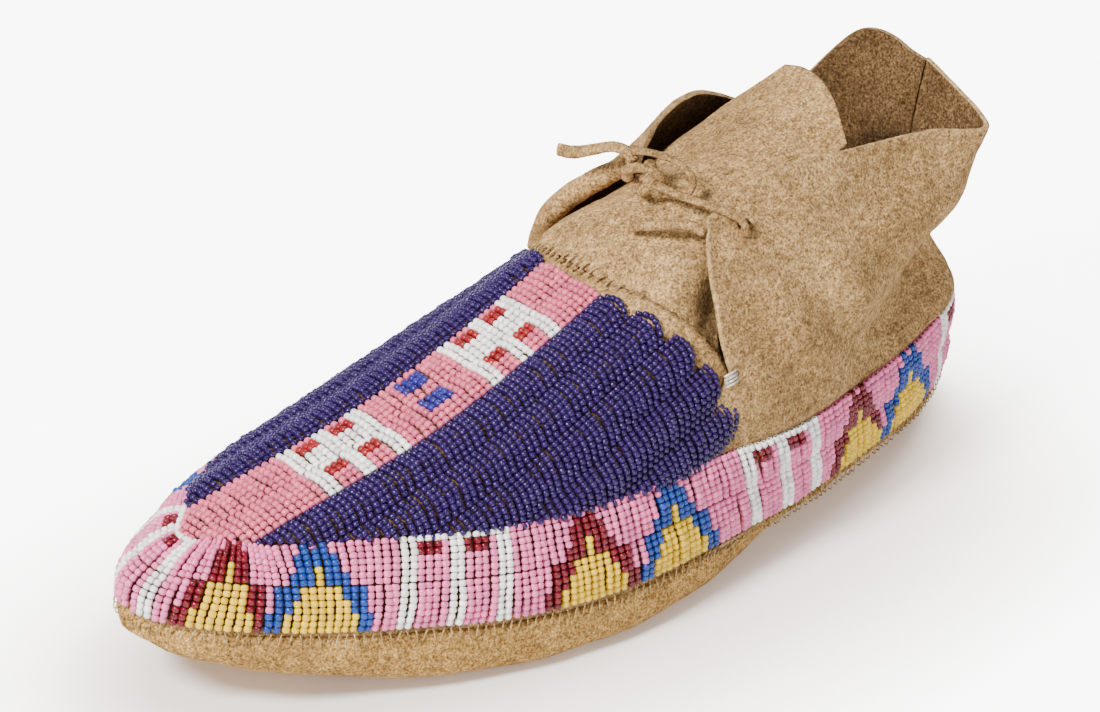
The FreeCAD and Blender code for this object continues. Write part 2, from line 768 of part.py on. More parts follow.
def build_throat_stays():
    """The few white stitches that keep each throat slit from tearing."""
    for label, centre, way in (
        ("outer_throat_stay", at(47.0, 26.6, 52.5), Vector(0.1, 1, 0.3)),
        ("inner_throat_stay", at(-42.5, 28.4, 52.5), Vector(-0.1, 1, 0.3)),
    ):
        down = Vector(0, 0, -STAY_STEP)
        row = [stitch(centre + down * n, way, SEAM_STITCH) for n in range(STAY_STITCHES)]
        add_feature(label, Part.makeCompound(row))


# ---------------------------------------------------------------- assembly and export

NODES = (
    "rawhide_sole", "vamp_hide", "outer_quarter", "inner_quarter", "outer_flap", "inner_flap",
    "tongue_base", "tongue", "band_lower_lane", "band_upper_lane", "stripe_outer_lane",
    "stripe_inner_lane", "field_outer_lane_1", "field_outer_lane_2", "field_outer_lane_3",
    "field_outer_lane_4", "field_outer_lane_5", "field_inner_lane_1", "field_inner_lane_2",
    "field_inner_lane_3", "field_inner_lane_4", "thong_outer_strand", "thong_inner_strand",
    "thong_outer_stopper", "thong_inner_stopper", "thong_knot", "thong_upper_end",
    "thong_lower_end", "sole_seam_stitches", "heel_seam_stitches", "tongue_seam_stitches",
    "outer_throat_stay", "inner_throat_stay",
)

build_sole()
build_vamp_hide()
build_quarter("outer_quarter", OUTER_NET, OUTER_ROLL, OUTER_WAY, 1)
build_quarter("inner_quarter", INNER_NET, INNER_ROLL, INNER_WAY, -1)
outer = build_flap("outer_flap", OUTER_NET, OUTER_ROLL, OUTER_WAY, 1)
inner = build_flap("inner_flap", INNER_NET, INNER_ROLL, INNER_WAY, -1)
add_eyelet("outer_flap", outer, *OUTER_EYELET)
add_eyelet("inner_flap", inner, *INNER_EYELET)
build_tongue()
build_bands()
build_vamp_beadwork()
build_thong()
build_sole_stitches()
build_heel_stitches()
build_tongue_stitches()
build_throat_stays()
doc.recompute()

for thing in doc.Objects:
    if "Invalid" in thing.State or "Error" in thing.State:
        raise RuntimeError(f"{thing.Label} failed: {thing.State}")

os.makedirs("parts", exist_ok=True)
for node in NODES:
    found = doc.getObjectsByLabel(node)
    if len(found) != 1:
        raise RuntimeError(f"{node} is made {len(found)} times")
    shape = found[0].Shape
    if shape.isNull() or not shape.isValid() or not shape.Solids:
        raise RuntimeError(f"{node} has no valid solid")
    shape.exportStep(f"parts/{node}.step")
print(len(NODES), "nodes written")
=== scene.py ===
"""The looks of the moccasin: glass seed beads, suede, rawhide, thong and sinew.

The shoe is worked out in millimetres. The lights, the camera, the floor and the frame are in metres.
"""

import math

import bpy
import numpy as np
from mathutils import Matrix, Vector, noise


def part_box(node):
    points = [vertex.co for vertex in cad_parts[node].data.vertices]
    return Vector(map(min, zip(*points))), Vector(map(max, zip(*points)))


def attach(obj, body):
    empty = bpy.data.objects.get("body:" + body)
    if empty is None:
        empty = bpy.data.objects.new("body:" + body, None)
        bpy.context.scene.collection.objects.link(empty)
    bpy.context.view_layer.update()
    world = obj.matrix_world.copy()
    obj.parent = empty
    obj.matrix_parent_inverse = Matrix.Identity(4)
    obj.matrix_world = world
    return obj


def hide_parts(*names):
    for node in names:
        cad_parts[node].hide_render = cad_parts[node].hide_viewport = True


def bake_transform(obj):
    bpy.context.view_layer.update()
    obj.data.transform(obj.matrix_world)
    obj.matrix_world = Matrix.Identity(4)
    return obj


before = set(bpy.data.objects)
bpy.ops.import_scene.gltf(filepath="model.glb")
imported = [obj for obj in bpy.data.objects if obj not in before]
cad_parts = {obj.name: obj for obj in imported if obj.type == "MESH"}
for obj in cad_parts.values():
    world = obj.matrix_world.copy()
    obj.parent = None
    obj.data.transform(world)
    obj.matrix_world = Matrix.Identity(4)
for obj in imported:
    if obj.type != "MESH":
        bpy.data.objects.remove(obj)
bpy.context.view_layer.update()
rng = np.random.default_rng(7)
MM = 0.001
UP = (0, 0, 1.0)

# ---------------- curves of the shoe

TOE_Y, HEEL_Y = -132.5, 132.5
OUTER, INNER = 1, -1
OUTER_HALF, INNER_HALF = 53.0, 43.5
TOE_CENTRE_Y = -102.0
# The rear edge of the vamp: its place at the ridge, and how far back it runs on the way to the sole.
REAR_MIDDLE_Y, REAR_SLANT, REAR_POWER = 8.0, 22.0, 2.3

# Each knot is (share of the length from toe to heel, value).
OUTER_SIDE = (
    (0, 0), (0.023, 0.26), (0.06, 0.43), (0.121, 0.60), (0.208, 0.76), (0.309, 0.91), (0.423, 1.0),
    (0.536, 0.97), (0.668, 0.85), (0.781, 0.72), (0.883, 0.58), (0.966, 0.33), (1, 0),
)
INNER_SIDE = (
    (0, 0), (0.023, 0.28), (0.072, 0.52), (0.16, 0.80), (0.27, 0.965), (0.385, 1.0), (0.536, 0.92),
    (0.668, 0.83), (0.79, 0.78), (0.89, 0.68), (0.966, 0.42), (1, 0),
)
RIDGE_X = ((0, -5), (0.12, -2.5), (0.27, 0), (0.42, 0.5), (0.6, 0), (1, 0))
STRIPE_SHIFT = ((0.1, 2.5), (0.33, 4), (0.535, 0))
SEAM_HEIGHT = ((0, 24), (0.08, 22), (0.22, 17.2), (0.33, 14), (0.55, 12), (0.7, 9.5), (0.8, 10), (1, 12.5))
SOLE_HEIGHT = (
    (0, 21), (0.02, 17.8), (0.08, 11.8), (0.19, 4.2), (0.3, 0.6), (0.4, 0), (0.54, 0), (0.68, 2),
    (0.8, 1.6), (0.9, 0), (0.95, 0.5), (1, 3),
)
RIDGE_HEIGHT = (
    (0, 24), (0.012, 32.5), (0.045, 38.5), (0.12, 44.5), (0.27, 54), (0.42, 64.5),
    (0.535, 73.5), (0.63, 84),
)
SECTION_FULLNESS = ((0.3, 2.8), (0.6, 3.3))
SECTION_SHOULDER = 1.9
SOLE_EDGE_POWER = ((0, 10), (0.53, 10), (0.68, 5), (1, 5))
SOLE_BULGE = ((0, 0.14), (0.3, 0.2), (0.53, 0.17), (0.66, 0.03), (1, 0.03))


def smoothstep(low, high, value):
    s = np.clip((value - low) / (high - low), 0, 1)
    return s * s * (3 - 2 * s)


def weights(times, t):
    """How much each knot counts at each t, for a smooth curve through the knots."""
    times, t = np.asarray(times, float), np.clip(np.asarray(t, float), times[0], times[-1])
    last = len(times) - 1
    i = np.clip(np.searchsorted(times, t, side="right") - 1, 0, last - 1)
    h = times[i + 1] - times[i]
    s = (t - times[i]) / h
    share = np.zeros((len(t), last + 1))
    rows = np.arange(len(t))

    def add_slope(k, amount):
        before, after = np.maximum(k - 1, 0), np.minimum(k + 1, last)
        gap = times[after] - times[before]
        np.add.at(share, (rows, after), amount / gap)
        np.add.at(share, (rows, before), -amount / gap)

    np.add.at(share, (rows, i), 2 * s**3 - 3 * s * s + 1)
    np.add.at(share, (rows, i + 1), 3 * s * s - 2 * s**3)
    add_slope(i, (s**3 - 2 * s * s + s) * h)
    add_slope(i + 1, (s**3 - s * s) * h)
    return share


def along(knots, t):
    """The value of a smooth curve through the knots at each t."""
    t = np.asarray(t, float)
    table = np.asarray(knots, float)
    return (weights(table[:, 0], t.ravel()) @ table[:, 1]).reshape(t.shape)


def length_share(y):
    return (np.asarray(y, float) - TOE_Y) / (HEEL_Y - TOE_Y)


def ridge_x(y):
    return along(RIDGE_X, length_share(y))


def stripe_x(y):
    return ridge_x(y) + along(STRIPE_SHIFT, length_share(y))


def seam_z(y):
    return along(SEAM_HEIGHT, length_share(y))


def half_width(y, side):
    """Distance from the ridge line to the sole seam. side is an array of 1 and -1, or one of them."""
    share = length_share(y)
    squares = [[(t, w * w) for t, w in knots] for knots in (OUTER_SIDE, INNER_SIDE)]
    outer = OUTER_HALF * np.sqrt(np.maximum(0, along(squares[0], share)))
    inner = INNER_HALF * np.sqrt(np.maximum(0, along(squares[1], share)))
    return np.where(np.asarray(side) > 0, outer, inner)


def seam_point(y, side):
    y = np.asarray(y, float)
    return np.stack([ridge_x(y) + side * half_width(y, side), y, seam_z(y)], -1)


def vamp_point(x, y):
    """The point of the vamp's surface over x and y."""
    x, y = np.broadcast_arrays(np.asarray(x, float), np.asarray(y, float))
    across = x - ridge_x(y)
    share = np.minimum(1, np.abs(across) / np.maximum(half_width(y, np.sign(across)), 1e-6))
    low = seam_z(y)
    rise = along(RIDGE_HEIGHT, length_share(y)) - low
    fullness = along(SECTION_FULLNESS, length_share(y))
    z = low + rise * np.maximum(0, 1 - share**fullness) ** (1 / SECTION_SHOULDER)
    return np.stack([x, y, z], -1)


# ---------------- ankle surfaces

# Columns run from the throat to the heel seam, and each rises from the sole seam to the collar. Of its
# point on the sole seam a column holds only y.
OUTER_QUARTER = (
    ((31.5,), (49, 29, 36), (43, 24.5, 57), (33.5, 26, 74), (21, 34, 88)),
    ((49,), (47, 48, 36), (43, 48, 60), (33, 52, 80), (20, 54, 94)),
    ((75,), (41, 75, 36), (39, 77, 58), (33, 81, 77), (23, 85, 93)),
    ((98,), (35, 98, 34), (33, 99, 55), (31, 104, 73), (25, 108, 91)),
    ((121,), (22.5, 121.5, 40), (19, 119, 54), (24, 122, 68), (28, 127, 88)),
    ((132.5,), (0, 129, 40), (0, 124.5, 54), (0, 127, 71), (0, 132, 95)),
)
INNER_QUARTER = (
    ((31.5,), (-40.5, 30, 36), (-38.5, 27, 57), (-31, 31, 73), (-15, 41, 88)),
    ((49,), (-40.5, 48, 36), (-41, 48, 58), (-37, 54, 75), (-27, 60, 91)),
    ((75,), (-38, 75, 36), (-40, 76, 56), (-40, 79, 73), (-33, 80, 90)),
    ((98,), (-34, 98, 34), (-35, 99, 55), (-37, 102, 67), (-35, 108, 77)),
    ((121,), (-22.5, 121.5, 40), (-21, 119, 54), (-25, 122, 72), (-22, 128, 97)),
    ((132.5,), (0, 129, 40), (0, 124.5, 54), (0, 127, 71), (0, 132, 95)),
)
# Rows run from the vamp seam to the free tip, each from the inner edge to the outer edge.
TONGUE = (
    ((-36, 27, 56), (-22, 13, 70), (0, 8.5, 73.8), (27, 14, 68), (39, 25, 55)),
    ((-34, 33, 61), (-20, 24, 74), (0, 20, 82), (24, 24, 77), (34, 31, 65)),
    ((-28, 44, 71), (-16, 38, 81), (0, 34, 87), (18, 36, 84), (30, 42, 78)),
    ((-26, 60, 80), (-16, 58, 88), (0, 57, 93), (14, 57, 92), (24, 58, 89)),
    ((-23, 76, 88), (-14, 77, 94), (0, 77, 98), (12, 77, 97), (22, 77, 93)),
    ((-12, 91, 102), (-6, 92, 103), (2, 91, 103), (12, 87, 101), (22, 82, 95)),
)


def quarter_net(quarter, side):
    """The points of a quarter as an array, with the feet of its columns on the sole seam."""
    return np.array([[seam_point(foot[0], side), *np.array(points, float)] for foot, *points in quarter])


OUTER_NET = quarter_net(OUTER_QUARTER, OUTER)
INNER_NET = quarter_net(INNER_QUARTER, INNER)
TONGUE_NET = np.array(TONGUE, float)


def net_grid(net, s, t):
    """Points of the smooth surface through a net, for every s (across the columns) and t (along them)."""
    ws = weights(np.linspace(0, 1, net.shape[0]), s)
    wt = weights(np.linspace(0, 1, net.shape[1]), t)
    return np.einsum("ai,bj,ijk->abk", ws, wt, net)


# ---------------- small helpers


def unit(v):
    """Vectors made one long."""
    return v / np.maximum(np.linalg.norm(v, axis=-1, keepdims=True), 1e-9)


def lengths(path):
    """Distance gone along each path. The points of a path run over the last axis but one."""
    steps = np.linalg.norm(np.diff(path, axis=-2), axis=-1)
    zero = np.zeros(steps.shape[:-1] + (1,))
    return np.concatenate([zero, np.cumsum(steps, -1)], -1)


def at_distance(path, distances):
    """Points of one path at the given distances from its start."""
    gone = lengths(path)
    return np.stack([np.interp(distances, gone, path[:, k]) for k in range(3)], -1)


def grid_normals(grid):
    """Directions square to a grid of points. Their side follows from the grid's order."""
    return unit(np.cross(np.gradient(grid, axis=0), np.gradient(grid, axis=1)))


CORE_FRONT_Y, CORE_REAR_Y, CORE_HEIGHT = -100, 105, 15.0


def outward(points, normals):
    """Normals turned to point away from a line along the middle of the shoe."""
    y = np.clip(points[..., 1], CORE_FRONT_Y, CORE_REAR_Y)
    core = np.stack([ridge_x(y), y, np.full(y.shape, CORE_HEIGHT)], -1)
    return normals * np.where(((points - core) * normals).sum(-1) < 0, -1, 1)[..., None]


def fractal(points, size, seed):
    """Smooth noise between about -1 and 1 at each point."""
    octaves = 3
    shift = Vector((seed * 13.1, seed * 7.7, seed * 3.3))
    flat = points.reshape(-1, 3) / size
    values = [noise.fractal(Vector(p) + shift, 1.0, 2.0, octaves) for p in flat]
    return np.array(values).reshape(points.shape[:-1])


def new_mesh(name, verts, faces, materials):
    """A smooth-shaded object from points in mm."""
    mesh = bpy.data.meshes.new(name)
    mesh.from_pydata((np.asarray(verts) * MM).tolist(), [], [list(map(int, f)) for f in faces])
    mesh.validate()
    mesh.shade_smooth()
    obj = bpy.data.objects.new(name, mesh)
    bpy.context.scene.collection.objects.link(obj)
    for material in materials:
        mesh.materials.append(material)
    return obj


def stand_in(obj, body, node):
    """Puts a piece in place of a CAD node on one body."""
    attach(obj, body)
    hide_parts(node)


def grid_faces(keep):
    """The corner numbers of every face of a grid that keep marks."""
    n = keep.shape[1] + 1
    corners = [(i * n + j, (i + 1) * n + j) for i, j in zip(*np.nonzero(keep))]
    return [(a, b, b + 1, a + 1) for a, b in corners]


def open_edges(faces):
    """The edges that only one face has. The order stays that of the faces."""
    edges = {}
    for a, b, c, d in faces:
        for edge in ((a, b), (b, c), (c, d), (d, a)):
            if edge[::-1] in edges:
                del edges[edge[::-1]]
            else:
                edges[edge] = True
    return list(edges)


# How far the middle of a cut edge stands out, as a share of the thickness.
EDGE_ROUND = 0.3


def rounded_rim(verts, edges, normals, thickness):
    """Adds a loop of points halfway down the cut edge, pushed out a little. Returns their numbers."""
    count = len(normals)
    pushes = {}
    for a, b in edges:
        way = np.cross(verts[b] - verts[a], normals[a])
        for k in (a, b):
            pushes[k] = pushes.get(k, 0) + way
    middle = {}
    for k, way in pushes.items():
        middle[k] = len(verts)
        centre = (verts[k] + verts[k + count]) / 2
        verts.append(centre + unit(way) * thickness * EDGE_ROUND)
    return middle


def thick_sheet(name, grid, thickness, materials, normals, keep=None):
    """A sheet with rounded edges. grid is its outer surface. keep marks the grid faces that exist.

    materials are those of the outside, the inside and the cut edge.
    """
    m, n = grid.shape[:2]
    under = m * n
    verts = list(grid.reshape(-1, 3)) + list((grid - normals * thickness).reshape(-1, 3))
    outer = grid_faces(np.ones((m - 1, n - 1), bool) if keep is None else keep)
    edges = open_edges(outer)
    middle = rounded_rim(verts, edges, normals.reshape(-1, 3), thickness)
    faces, slots = [], []
    for a, b, c, d in outer:
        faces.append((a, b, c, d))
        faces.append((d + under, c + under, b + under, a + under))
        slots += [0, 1]
    for a, b in edges:
        faces.append((b, a, middle[a], middle[b]))
        faces.append((middle[b], middle[a], a + under, b + under))
        slots += [2, 2]
    used = sorted({k for face in faces for k in face})
    index = {k: i for i, k in enumerate(used)}
    obj = new_mesh(name, [verts[k] for k in used], [[index[k] for k in face] for face in faces], materials)
    obj.data.polygons.foreach_set("material_index", np.array(slots, np.int32))
    return obj


# ---------------- materials


def set_inputs(node, values):
    for name, value in values.items():
        node.inputs[name].default_value = value


def node_material(name, build):
    """A new material, whose nodes are added by build(tree, shader)."""
    material = bpy.data.materials.new(name)
    material.use_nodes = True
    build(material.node_tree, material.node_tree.nodes["Principled BSDF"])
    return material


def noise_node(tree, scale, detail, rough, stretch=(1, 1, 1)):
    """Noise in object space. scale is in cells to the metre."""
    place = tree.nodes.new("ShaderNodeTexCoord").outputs["Object"]
    texture = tree.nodes.new("ShaderNodeTexNoise")
    set_inputs(texture, {"Scale": scale, "Detail": detail, "Roughness": rough})
    if stretch != (1, 1, 1):
        mapping = tree.nodes.new("ShaderNodeMapping")
        set_inputs(mapping, {"Scale": stretch})
        tree.links.new(place, mapping.inputs["Vector"])
        place = mapping.outputs["Vector"]
    tree.links.new(place, texture.inputs["Vector"])
    return texture.outputs["Fac"]


def ramp(tree, value, stops):
    """A colour for every value. Each stop is (position, colour)."""
    node = tree.nodes.new("ShaderNodeValToRGB")
    elements = node.color_ramp.elements
    while len(elements) < len(stops):
        elements.new(0.5)
    for element, (position, colour) in zip(elements, stops):
        element.position = position
        element.color = (*colour, 1)
    tree.links.new(value, node.inputs["Fac"])
    return node.outputs["Color"]


def mix(tree, factor, first, second, mode="MIX"):
    """Two colours mixed. Each input is a number, a colour or the output of a node."""
    node = tree.nodes.new("ShaderNodeMix")
    node.data_type = "RGBA"
    node.blend_type = mode
    for socket, value in ((node.inputs[0], factor), (node.inputs[6], first), (node.inputs[7], second)):
        if isinstance(value, (int, float)):
            socket.default_value = value
        elif isinstance(value, tuple):
            socket.default_value = (*value, 1)
        else:
            tree.links.new(value, socket)
    return node.outputs[2]


def bump(tree, shader, layers):
    """Stacks bump layers, each (height, strength, distance in metres)."""
    last = None
    for height, strength, distance in layers:
        node = tree.nodes.new("ShaderNodeBump")
        set_inputs(node, {"Strength": strength, "Distance": distance})
        tree.links.new(height, node.inputs["Height"])
        if last:
            tree.links.new(last, node.inputs["Normal"])
        last = node.outputs["Normal"]
    tree.links.new(last, shader.inputs["Normal"])


def grey(level):
    return (level, level, level)


def suede(name, dark, middle, light, stain=0.35):
    """Brushed hide: a speckle of fibres and short strokes on a mottled ground."""

    def build(tree, shader):
        grain = noise_node(tree, 1500, 3, 0.75)
        nap = noise_node(tree, 680, 3, 0.7, (1.0, 0.6, 0.8))
        patch = noise_node(tree, 120, 3, 0.6)
        cloud = noise_node(tree, 38, 4, 0.6)
        colour = ramp(tree, grain, ((0.35, dark), (0.50, middle), (0.65, light)))
        brushed = ramp(tree, nap, ((0.34, (0.56, 0.53, 0.50)), (0.66, grey(1.38))))
        patched = ramp(tree, patch, ((0.34, (0.74, 0.72, 0.69)), (0.66, grey(1.18))))
        worn = ramp(tree, cloud, ((0.32, (0.66, 0.61, 0.56)), (0.64, grey(1.12))))
        for factor, layer in ((0.85, brushed), (0.4, patched), (stain * 2, worn)):
            colour = mix(tree, factor, colour, layer, "MULTIPLY")
        tree.links.new(colour, shader.inputs["Base Color"])
        set_inputs(shader, {"Roughness": 0.95, "Specular IOR Level": 0.08})
        set_inputs(shader, {"Sheen Weight": 0.05, "Sheen Roughness": 0.6, "Sheen Tint": (*light, 1)})
        layers = ((cloud, 0.4, 0.002), (patch, 0.5, 0.0012), (nap, 0.6, 0.0008), (grain, 0.6, 0.0005))
        bump(tree, shader, layers)

    return node_material(name, build)


def bead_glass(name, colour, edge, rough=0.16):
    """Glass with a painted sheen: its colour turns paler towards a bead's rim, where the surface turns
    away from the view. Its tone follows each bead's own tint.
    """

    def build(tree, shader):
        tint = tree.nodes.new("ShaderNodeAttribute")
        tint.attribute_name = "tint"
        rim = tree.nodes.new("ShaderNodeLayerWeight")
        set_inputs(rim, {"Blend": 0.35})
        # Painted sheen: the edge colour takes over where the bead turns away from the view.
        body = mix(tree, rim.outputs["Facing"], colour, edge)
        shade = ramp(tree, tint.outputs["Fac"], ((0, (0.74, 0.74, 0.77)), (1, (1.26, 1.26, 1.23))))
        haze = ramp(tree, noise_node(tree, 1500, 2, 0.5), ((0.3, grey(0.85)), (0.7, grey(1.1))))
        for layer in (shade, haze):
            body = mix(tree, 1.0, body, layer, "MULTIPLY")
        tree.links.new(body, shader.inputs["Base Color"])
        set_inputs(shader, {"Roughness": rough, "Specular IOR Level": 0.5})

    return node_material(name, build)


HIDE = suede("tanned_hide", (0.15, 0.085, 0.033), (0.41, 0.25, 0.102), (0.69, 0.47, 0.225))
# The inside of each hide sheet, painted far darker than the outside: painted shade.
HIDE_INSIDE_PAINTED_SHADE = suede("hide_flesh_side", (0.04, 0.021, 0.008), (0.125, 0.07, 0.03), (0.24, 0.148, 0.068))
# The cut edge, paler than the outside: partly its own tone, partly a painted highlight along the rim.
HIDE_CUT_EDGE_AND_HIGHLIGHT = suede("hide_cut_edge", (0.24, 0.14, 0.055), (0.46, 0.30, 0.135), (0.68, 0.48, 0.255), 0.1)
# Dark brown hide under the beads: painted shade that stands for the shade in the gaps between them.
HIDE_PAINTED_SHADE_UNDER_BEADS = suede("hide_painted_shade_under_beads", (0.04, 0.022, 0.01), (0.11, 0.062, 0.028), (0.22, 0.135, 0.065))
# The outside, the inside and the cut edge of a sheet. The inside is painted darker, as painted shade.
HIDES = (HIDE, HIDE_INSIDE_PAINTED_SHADE, HIDE_CUT_EDGE_AND_HIGHLIGHT)
RAWHIDE = suede("rawhide", (0.15, 0.072, 0.019), (0.40, 0.23, 0.068), (0.68, 0.45, 0.175), 0.45)
THONG = suede("thong_hide", (0.13, 0.07, 0.025), (0.34, 0.205, 0.085), (0.58, 0.385, 0.185), 0.3)
SINEW = suede("sinew", (0.20, 0.12, 0.045), (0.42, 0.28, 0.13), (0.66, 0.50, 0.27), 0.2)
PALE_THREAD = suede("pale_thread", (0.40, 0.37, 0.33), (0.64, 0.61, 0.56), (0.82, 0.79, 0.74), 0.1)
# The second colour of each glass is the painted sheen at a bead's rim.
PINK = bead_glass("pink_glass", (0.80, 0.165, 0.37), (0.87, 0.29, 0.48))
SALMON = bead_glass("salmon_glass", (0.68, 0.115, 0.195), (0.77, 0.22, 0.31))
WHITE = bead_glass("white_glass", (0.96, 0.94, 0.90), (0.97, 0.96, 0.93), 0.2)
RED = bead_glass("red_glass", (0.14, 0.002, 0.010), (0.21, 0.008, 0.018), 0.1)
BRICK = bead_glass("brick_glass", (0.27, 0.010, 0.012), (0.37, 0.025, 0.03), 0.14)
YELLOW = bead_glass("yellow_glass", (0.79, 0.50, 0.018), (0.84, 0.59, 0.035), 0.2)
BLUE = bead_glass("blue_glass", (0.008, 0.040, 0.26), (0.02, 0.08, 0.36), 0.12)
COBALT = bead_glass("cobalt_glass", (0.022, 0.018, 0.20), (0.05, 0.045, 0.32), 0.1)
NAVY = bead_glass("navy_glass", (0.014, 0.003, 0.058), (0.042, 0.014, 0.125), 0.07)
# Patterns are spelled with these letters, and a space is a place without a bead.
BEAD_COLOURS = {
    "p": PINK, "s": SALMON, "w": WHITE, "r": RED, "k": BRICK,
    "y": YELLOW, "b": BLUE, "c": COBALT, "n": NAVY,
}

# ---------------- beads

ROW_PITCH, BEAD_PITCH, BEAD_HEIGHT = 2.12, 1.8, 2.0
# How deep the beads press into the hide.
BEAD_SINK = 1.2
LANE_BEADS, STRIPE_BEADS = 7, 6
# How unevenly the beads lie: each bead by itself, and how far a row sways, bows and drifts.
BEAD_TILT, BEAD_LIFT, BEAD_SLIDE = 0.06, 0.06, 0.05
ROW_SWAY, ROW_BOW, ROW_DRIFT, DRIFT_SIZE = 0.10, 0.16, 0.45, 9.0
# The least and the most of a bead's length, width and height, as shares of the usual size.
LENGTH_RANGE, WIDTH_RANGE, HEIGHT_RANGE = (0.92, 1.04), (0.95, 1.05), (0.93, 1.07)
# (place along the hole, radius) of a bead, as shares of its size.
BEAD_PROFILE = (
    (-0.5, 0.22), (-0.48, 0.36), (-0.31, 0.49), (0, 0.525), (0.31, 0.49), (0.48, 0.36), (0.5, 0.22),
)
BEAD_SIDES = 8


def bead_template():
    """One bead of size one, with its hole along x."""
    verts, faces = [], []
    for place, radius in BEAD_PROFILE:
        for k in range(BEAD_SIDES):
            angle = 2 * math.pi * (k + 0.5) / BEAD_SIDES
            verts.append((place, radius * math.cos(angle), radius * math.sin(angle)))
    for ring in range(len(BEAD_PROFILE) - 1):
        for k in range(BEAD_SIDES):
            a, b = ring * BEAD_SIDES + k, ring * BEAD_SIDES + (k + 1) % BEAD_SIDES
            faces.append((a, b, b + BEAD_SIDES, a + BEAD_SIDES))
    return np.array(verts), np.array(faces)


def bead_lane(name, centres, threads, normals, sizes, codes):
    """One mesh of beads. threads run through the holes, and sizes are (length, width, height)."""
    verts, faces = bead_template()
    count = len(centres)
    tilt = rng.normal(0, BEAD_TILT, (count, 3))
    threads = unit(threads + tilt * 0.6)
    across = unit(np.cross(normals, threads) + np.roll(tilt, 1, 1) * 0.5)
    up = np.cross(threads, across)
    basis = np.stack([threads, across, up], 1) * sizes[:, :, None]
    cloud = np.einsum("vk,nkx->nvx", verts, basis) + centres[:, None, :]
    all_faces = (faces[None] + (np.arange(count) * len(verts))[:, None, None]).reshape(-1, 4)
    order = sorted(set(codes))
    obj = new_mesh(name, cloud.reshape(-1, 3), all_faces, [BEAD_COLOURS[code] for code in order])
    which = np.repeat([order.index(code) for code in codes], len(faces))
    obj.data.polygons.foreach_set("material_index", which.astype(np.int32))
    tint = obj.data.attributes.new("tint", "FLOAT", "POINT")
    shades = np.clip(rng.normal(0.5, 0.2, count), 0, 1)
    tint.data.foreach_set("value", np.repeat(shades, len(verts)).astype(np.float32))
    return obj


def lay_rows(node, rows, codes, hump, fill=0.94):
    """Beads along threads, in place of a node. rows is (row, bead, xyz) on the hide.

    codes holds a letter for each bead, hump is how far the middle of a row stands up, and fill is the
    share of the row spacing that a bead takes up.
    """
    m, n = rows.shape[:2]
    normals = outward(rows, grid_normals(rows))
    threads = unit(np.gradient(rows, axis=1))
    step = np.linalg.norm(np.gradient(rows, axis=0), axis=-1)
    width = np.minimum(ROW_PITCH, step) * fill
    arch = np.sin(np.pi * (np.arange(n) + 0.5) / n)[None]
    sway = rng.normal(0, ROW_SWAY, (m, 1)) + rng.normal(0, ROW_BOW, (m, 1)) * arch
    drift = fractal(rows, DRIFT_SIZE, m) * ROW_DRIFT
    lift = rng.normal(0, BEAD_LIFT, (m, n)) + sway * 0.6
    height = BEAD_HEIGHT / 2 - BEAD_SINK + hump * arch + lift
    slide = rng.normal(0, BEAD_SLIDE, (m, n)) + sway + drift
    forward = unit(np.gradient(rows, axis=0))
    centres = rows + normals * height[..., None] + forward * slide[..., None]
    pitch = np.linalg.norm(np.gradient(rows, axis=1), axis=-1)
    length = np.minimum(BEAD_PITCH, pitch) * rng.uniform(*LENGTH_RANGE, (m, n))
    tall = BEAD_HEIGHT * rng.uniform(*HEIGHT_RANGE, (m, n))
    sizes = np.stack([length, width * rng.uniform(*WIDTH_RANGE, (m, n)), tall], -1)
    keep = np.array([[c != " " for c in row] for row in codes])
    flat = "".join(codes).replace(" ", "")
    obj = bead_lane(f"{node}_beads", centres[keep], threads[keep], normals[keep], sizes[keep], flat)
    stand_in(obj, "shoe", node)


# ---------------- side band

# Distances up the outside of the shoe from the sole seam.
BAND_LOW, BAND_HIGH, BAND_GAP = 2.4, 26.6, 0.12
BAND_MIDDLE = 13.0
# Where the band leaves the vamp and lies on the quarter.
VAMP_END_Y, QUARTER_START_Y = 4, 30


def quarter_wall(y, side):
    """Paths up the quarter from the sole seam, one for each y."""
    net = OUTER_NET if side > 0 else INNER_NET
    fine = np.linspace(0, 1, 400)
    s = np.interp(y, net_grid(net, fine, [0.0])[:, 0, 1], fine)
    return net_grid(net, s, np.linspace(0, 1, 60))


def vamp_wall(y, side):
    """Paths over the vamp from the sole seam towards the ridge, one for each y."""
    start = seam_point(y, side)
    centre_y = np.maximum(y, TOE_CENTRE_Y)
    r = 1 - np.cos(np.linspace(0, math.pi / 2, 80))
    x = start[:, 0, None] + (ridge_x(centre_y) - start[:, 0])[:, None] * r
    yy = start[:, 1, None] + (centre_y - start[:, 1])[:, None] * r
    path = vamp_point(x, yy)
    path[:, 0] = start
    return path


def wall_points(y, side, heights):
    """Points up the outside of the shoe from the seam, (y, height, xyz)."""
    over_vamp = np.stack([at_distance(path, heights) for path in vamp_wall(y, side)])
    over_quarter = np.stack([at_distance(path, heights) for path in quarter_wall(y, side)])
    back = smoothstep(VAMP_END_Y, QUARTER_START_Y, y)[:, None, None]
    return over_vamp * (1 - back) + over_quarter * back


def outline_y(side, spacing):
    """Distances from the toe of rows spaced evenly round one side of the shoe, and a way to get y."""
    end = 0.012
    y = HEEL_Y * -np.cos(np.linspace(end, math.pi - end, 500))
    path = wall_points(y, side, [BAND_MIDDLE])[:, 0]
    gone = lengths(path)
    count = int(gone[-1] / spacing)
    marks = (np.arange(count) + 0.5) * gone[-1] / count
    return marks, lambda distance: np.interp(distance, gone, y)


